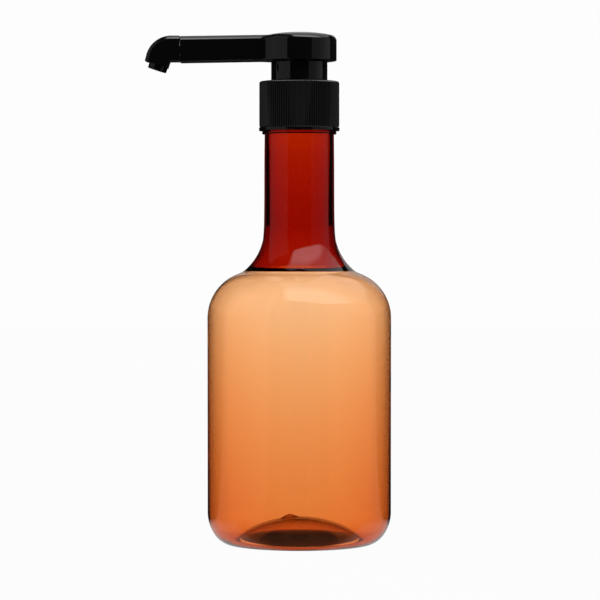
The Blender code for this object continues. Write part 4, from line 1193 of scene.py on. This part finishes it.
class PUMP_BOTTLE_OT_studio(bpy.types.Operator):
    """Sets up the bright backdrop, the softboxes, the floor and the camera"""

    bl_idname = "pump_bottle.add_studio"
    bl_label = "Studio"

    def execute(self, context):
        scene = context.scene
        studio = scene.pump_bottle_studio
        self.backdrop(scene, studio)
        self.floor(studio)
        leave_edit_mode()
        bpy.ops.object.camera_add(
            location=(AXIS_X + studio.aside, -studio.distance, studio.height),
            rotation=(math.pi / 2 - studio.pitch, 0, 0),
        )
        camera = context.object
        camera.data.lens = studio.lens
        camera.data.clip_start = 0.01
        scene.camera = camera
        scene.view_settings.view_transform = "Standard"
        scene.view_settings.look = "None"
        scene.cycles.max_bounces = 24
        scene.cycles.transmission_bounces = 24
        scene.cycles.glossy_bounces = 12
        scene.cycles.transparent_max_bounces = 32
        return {"FINISHED"}

    def backdrop(self, scene, studio):
        """White to the camera and through the plastic, and the lit room to gloss."""
        scene.world = bpy.data.worlds.new("studio")
        scene.world.use_nodes = True
        graph = Graph(scene.world.node_tree)
        direction = graph.node("ShaderNodeTexCoord", output="Generated")
        camera, straight, turned_back = light_kinds(graph)
        room = room_light(graph, studio, direction, turned_back)
        seen = camera * studio.white + (1 - camera) * (straight * studio.through + (1 - straight) * room)
        background = graph.node("ShaderNodeBackground", None, {"Color": (1, 1, 1, 1), "Strength": seen})
        graph.node("ShaderNodeOutputWorld", None, {"Surface": background}, ())

    def from_oval(self, graph, place, squeeze, centre_y):
        """How far a place is from the middle of an oval. Widths count more than depths."""
        narrow = graph.node("ShaderNodeMapping", None, {"Vector": place, "Scale": (squeeze, 1, 1)})
        return graph.vector_math("DISTANCE", narrow, (squeeze * AXIS_X, centre_y, 0), output="Value")

    def floor(self, studio):
        """A glowing floor. It is white to the camera. Under the bottle it has a painted shadow, round the
        bottle it has painted dim shade that gloss shows, and farther off it is like the room.
        """
        leave_edit_mode()
        bpy.ops.mesh.primitive_plane_add(size=studio.floor_size, location=(AXIS_X, 0, FLOOR_Z))
        floor = name_piece("floor")
        material, graph = new_finish("pale_floor")
        camera, straight, turned_back = light_kinds(graph)
        place = graph.place()
        # Painted shadow under the bottle: a dark oval within a half dark one, seen through the plastic and
        # in gloss
        past_painted_shadow = graph.step(self.from_oval(graph, place, *PAINTED_SHADOW_OVAL), *PAINTED_SHADOW_EDGE)
        past_painted_half_shadow = graph.step(self.from_oval(graph, place, *PAINTED_HALF_SHADOW_OVAL), *PAINTED_HALF_SHADOW_EDGE)
        lit = PAINTED_SHADOW_SHARE + (1 - PAINTED_SHADOW_SHARE) * past_painted_shadow * (PAINTED_HALF_SHADOW_SHARE + (1 - PAINTED_HALF_SHADOW_SHARE) * past_painted_half_shadow)
        paper = 1 - PAPER_MOTTLE + PAPER_MOTTLE * graph.noise(3.0, 2.0)
        far = graph.step(graph.vector_math("DISTANCE", place, AXIS, output="Value"), *FLOOR_NEAR)
        direction = graph.vector_math("NORMALIZE", graph.vector_math("SUBTRACT", place, AXIS))
        room = room_light(graph, studio, direction, turned_back) * far
        # In gloss the floor near the bottle is painted dim as shade, and painted brighter from the bottle's
        # front edge backwards. Light turned back inside the plastic finds it fully bright.
        under = graph.step(graph.parts(place)[1], *FLOOR_FRONT)
        shown = NEAR_PAINTED_SHADE_SHARE + UNDER_PAINTED_LIGHT_GAIN * under * (1 - turned_back) + (1 - NEAR_PAINTED_SHADE_SHARE) * turned_back
        near = lit * (1 - far) * shown
        # Through the plastic the floor shows its painted shadow. The camera sees the floor evenly white.
        seen = camera * studio.white * paper + straight * lit * studio.through
        gloss = (1 - camera) * (1 - straight) * (room + near)
        glow = graph.node("ShaderNodeEmission", None, {"Color": (1, 1, 1, 1), "Strength": seen + gloss})
        graph.finish(Surface=glow)
        floor.data.materials.append(material)


class PUMP_BOTTLE_PT_panel(bpy.types.Panel):
    """Lists the pieces and the studio of the pump bottle"""

    bl_idname = "PUMP_BOTTLE_PT_panel"
    bl_label = "Pump Bottle"
    bl_space_type = "VIEW_3D"
    bl_region_type = "UI"
    bl_category = "Pump Bottle"

    def draw(self, context):
        for operator in OPERATORS:
            self.layout.operator(operator.bl_idname)
        for name, _ in SETTINGS:
            box = self.layout.box()
            settings = getattr(context.scene, name)
            for key in settings.bl_rna.properties.keys():
                if key not in ("rna_type", "name"):
                    box.prop(settings, key)


OPERATORS = (
    PUMP_BOTTLE_OT_bottle,
    PUMP_BOTTLE_OT_cap,
    PUMP_BOTTLE_OT_collar,
    PUMP_BOTTLE_OT_head,
    PUMP_BOTTLE_OT_elbow,
    PUMP_BOTTLE_OT_spring,
    PUMP_BOTTLE_OT_inner_parts,
    PUMP_BOTTLE_OT_studio,
)
SETTINGS = (
    ("pump_bottle_body", PumpBottleBodySizes),
    ("pump_bottle_cap", PumpBottleCapSizes),
    ("pump_bottle_head", PumpBottleHeadSizes),
    ("pump_bottle_finishes", PumpBottleFinishes),
    ("pump_bottle_studio", PumpBottleStudio),
)


def register():
    for name, settings in SETTINGS:
        bpy.utils.register_class(settings)
        setattr(bpy.types.Scene, name, PointerProperty(type=settings))
    for entry in (*OPERATORS, PUMP_BOTTLE_PT_panel):
        bpy.utils.register_class(entry)


def unregister():
    for entry in (PUMP_BOTTLE_PT_panel, *reversed(OPERATORS)):
        bpy.utils.unregister_class(entry)
    for name, settings in reversed(SETTINGS):
        delattr(bpy.types.Scene, name)
        bpy.utils.unregister_class(settings)


def main():
    register()
    bpy.ops.pump_bottle.add_bottle()
    bpy.ops.pump_bottle.add_cap()
    bpy.ops.pump_bottle.add_collar()
    bpy.ops.pump_bottle.add_head()
    bpy.ops.pump_bottle.add_elbow()
    bpy.ops.pump_bottle.add_spring()
    bpy.ops.pump_bottle.finish_inner_parts()
    bpy.ops.pump_bottle.add_studio()


if __name__ == "__main__":
    main()
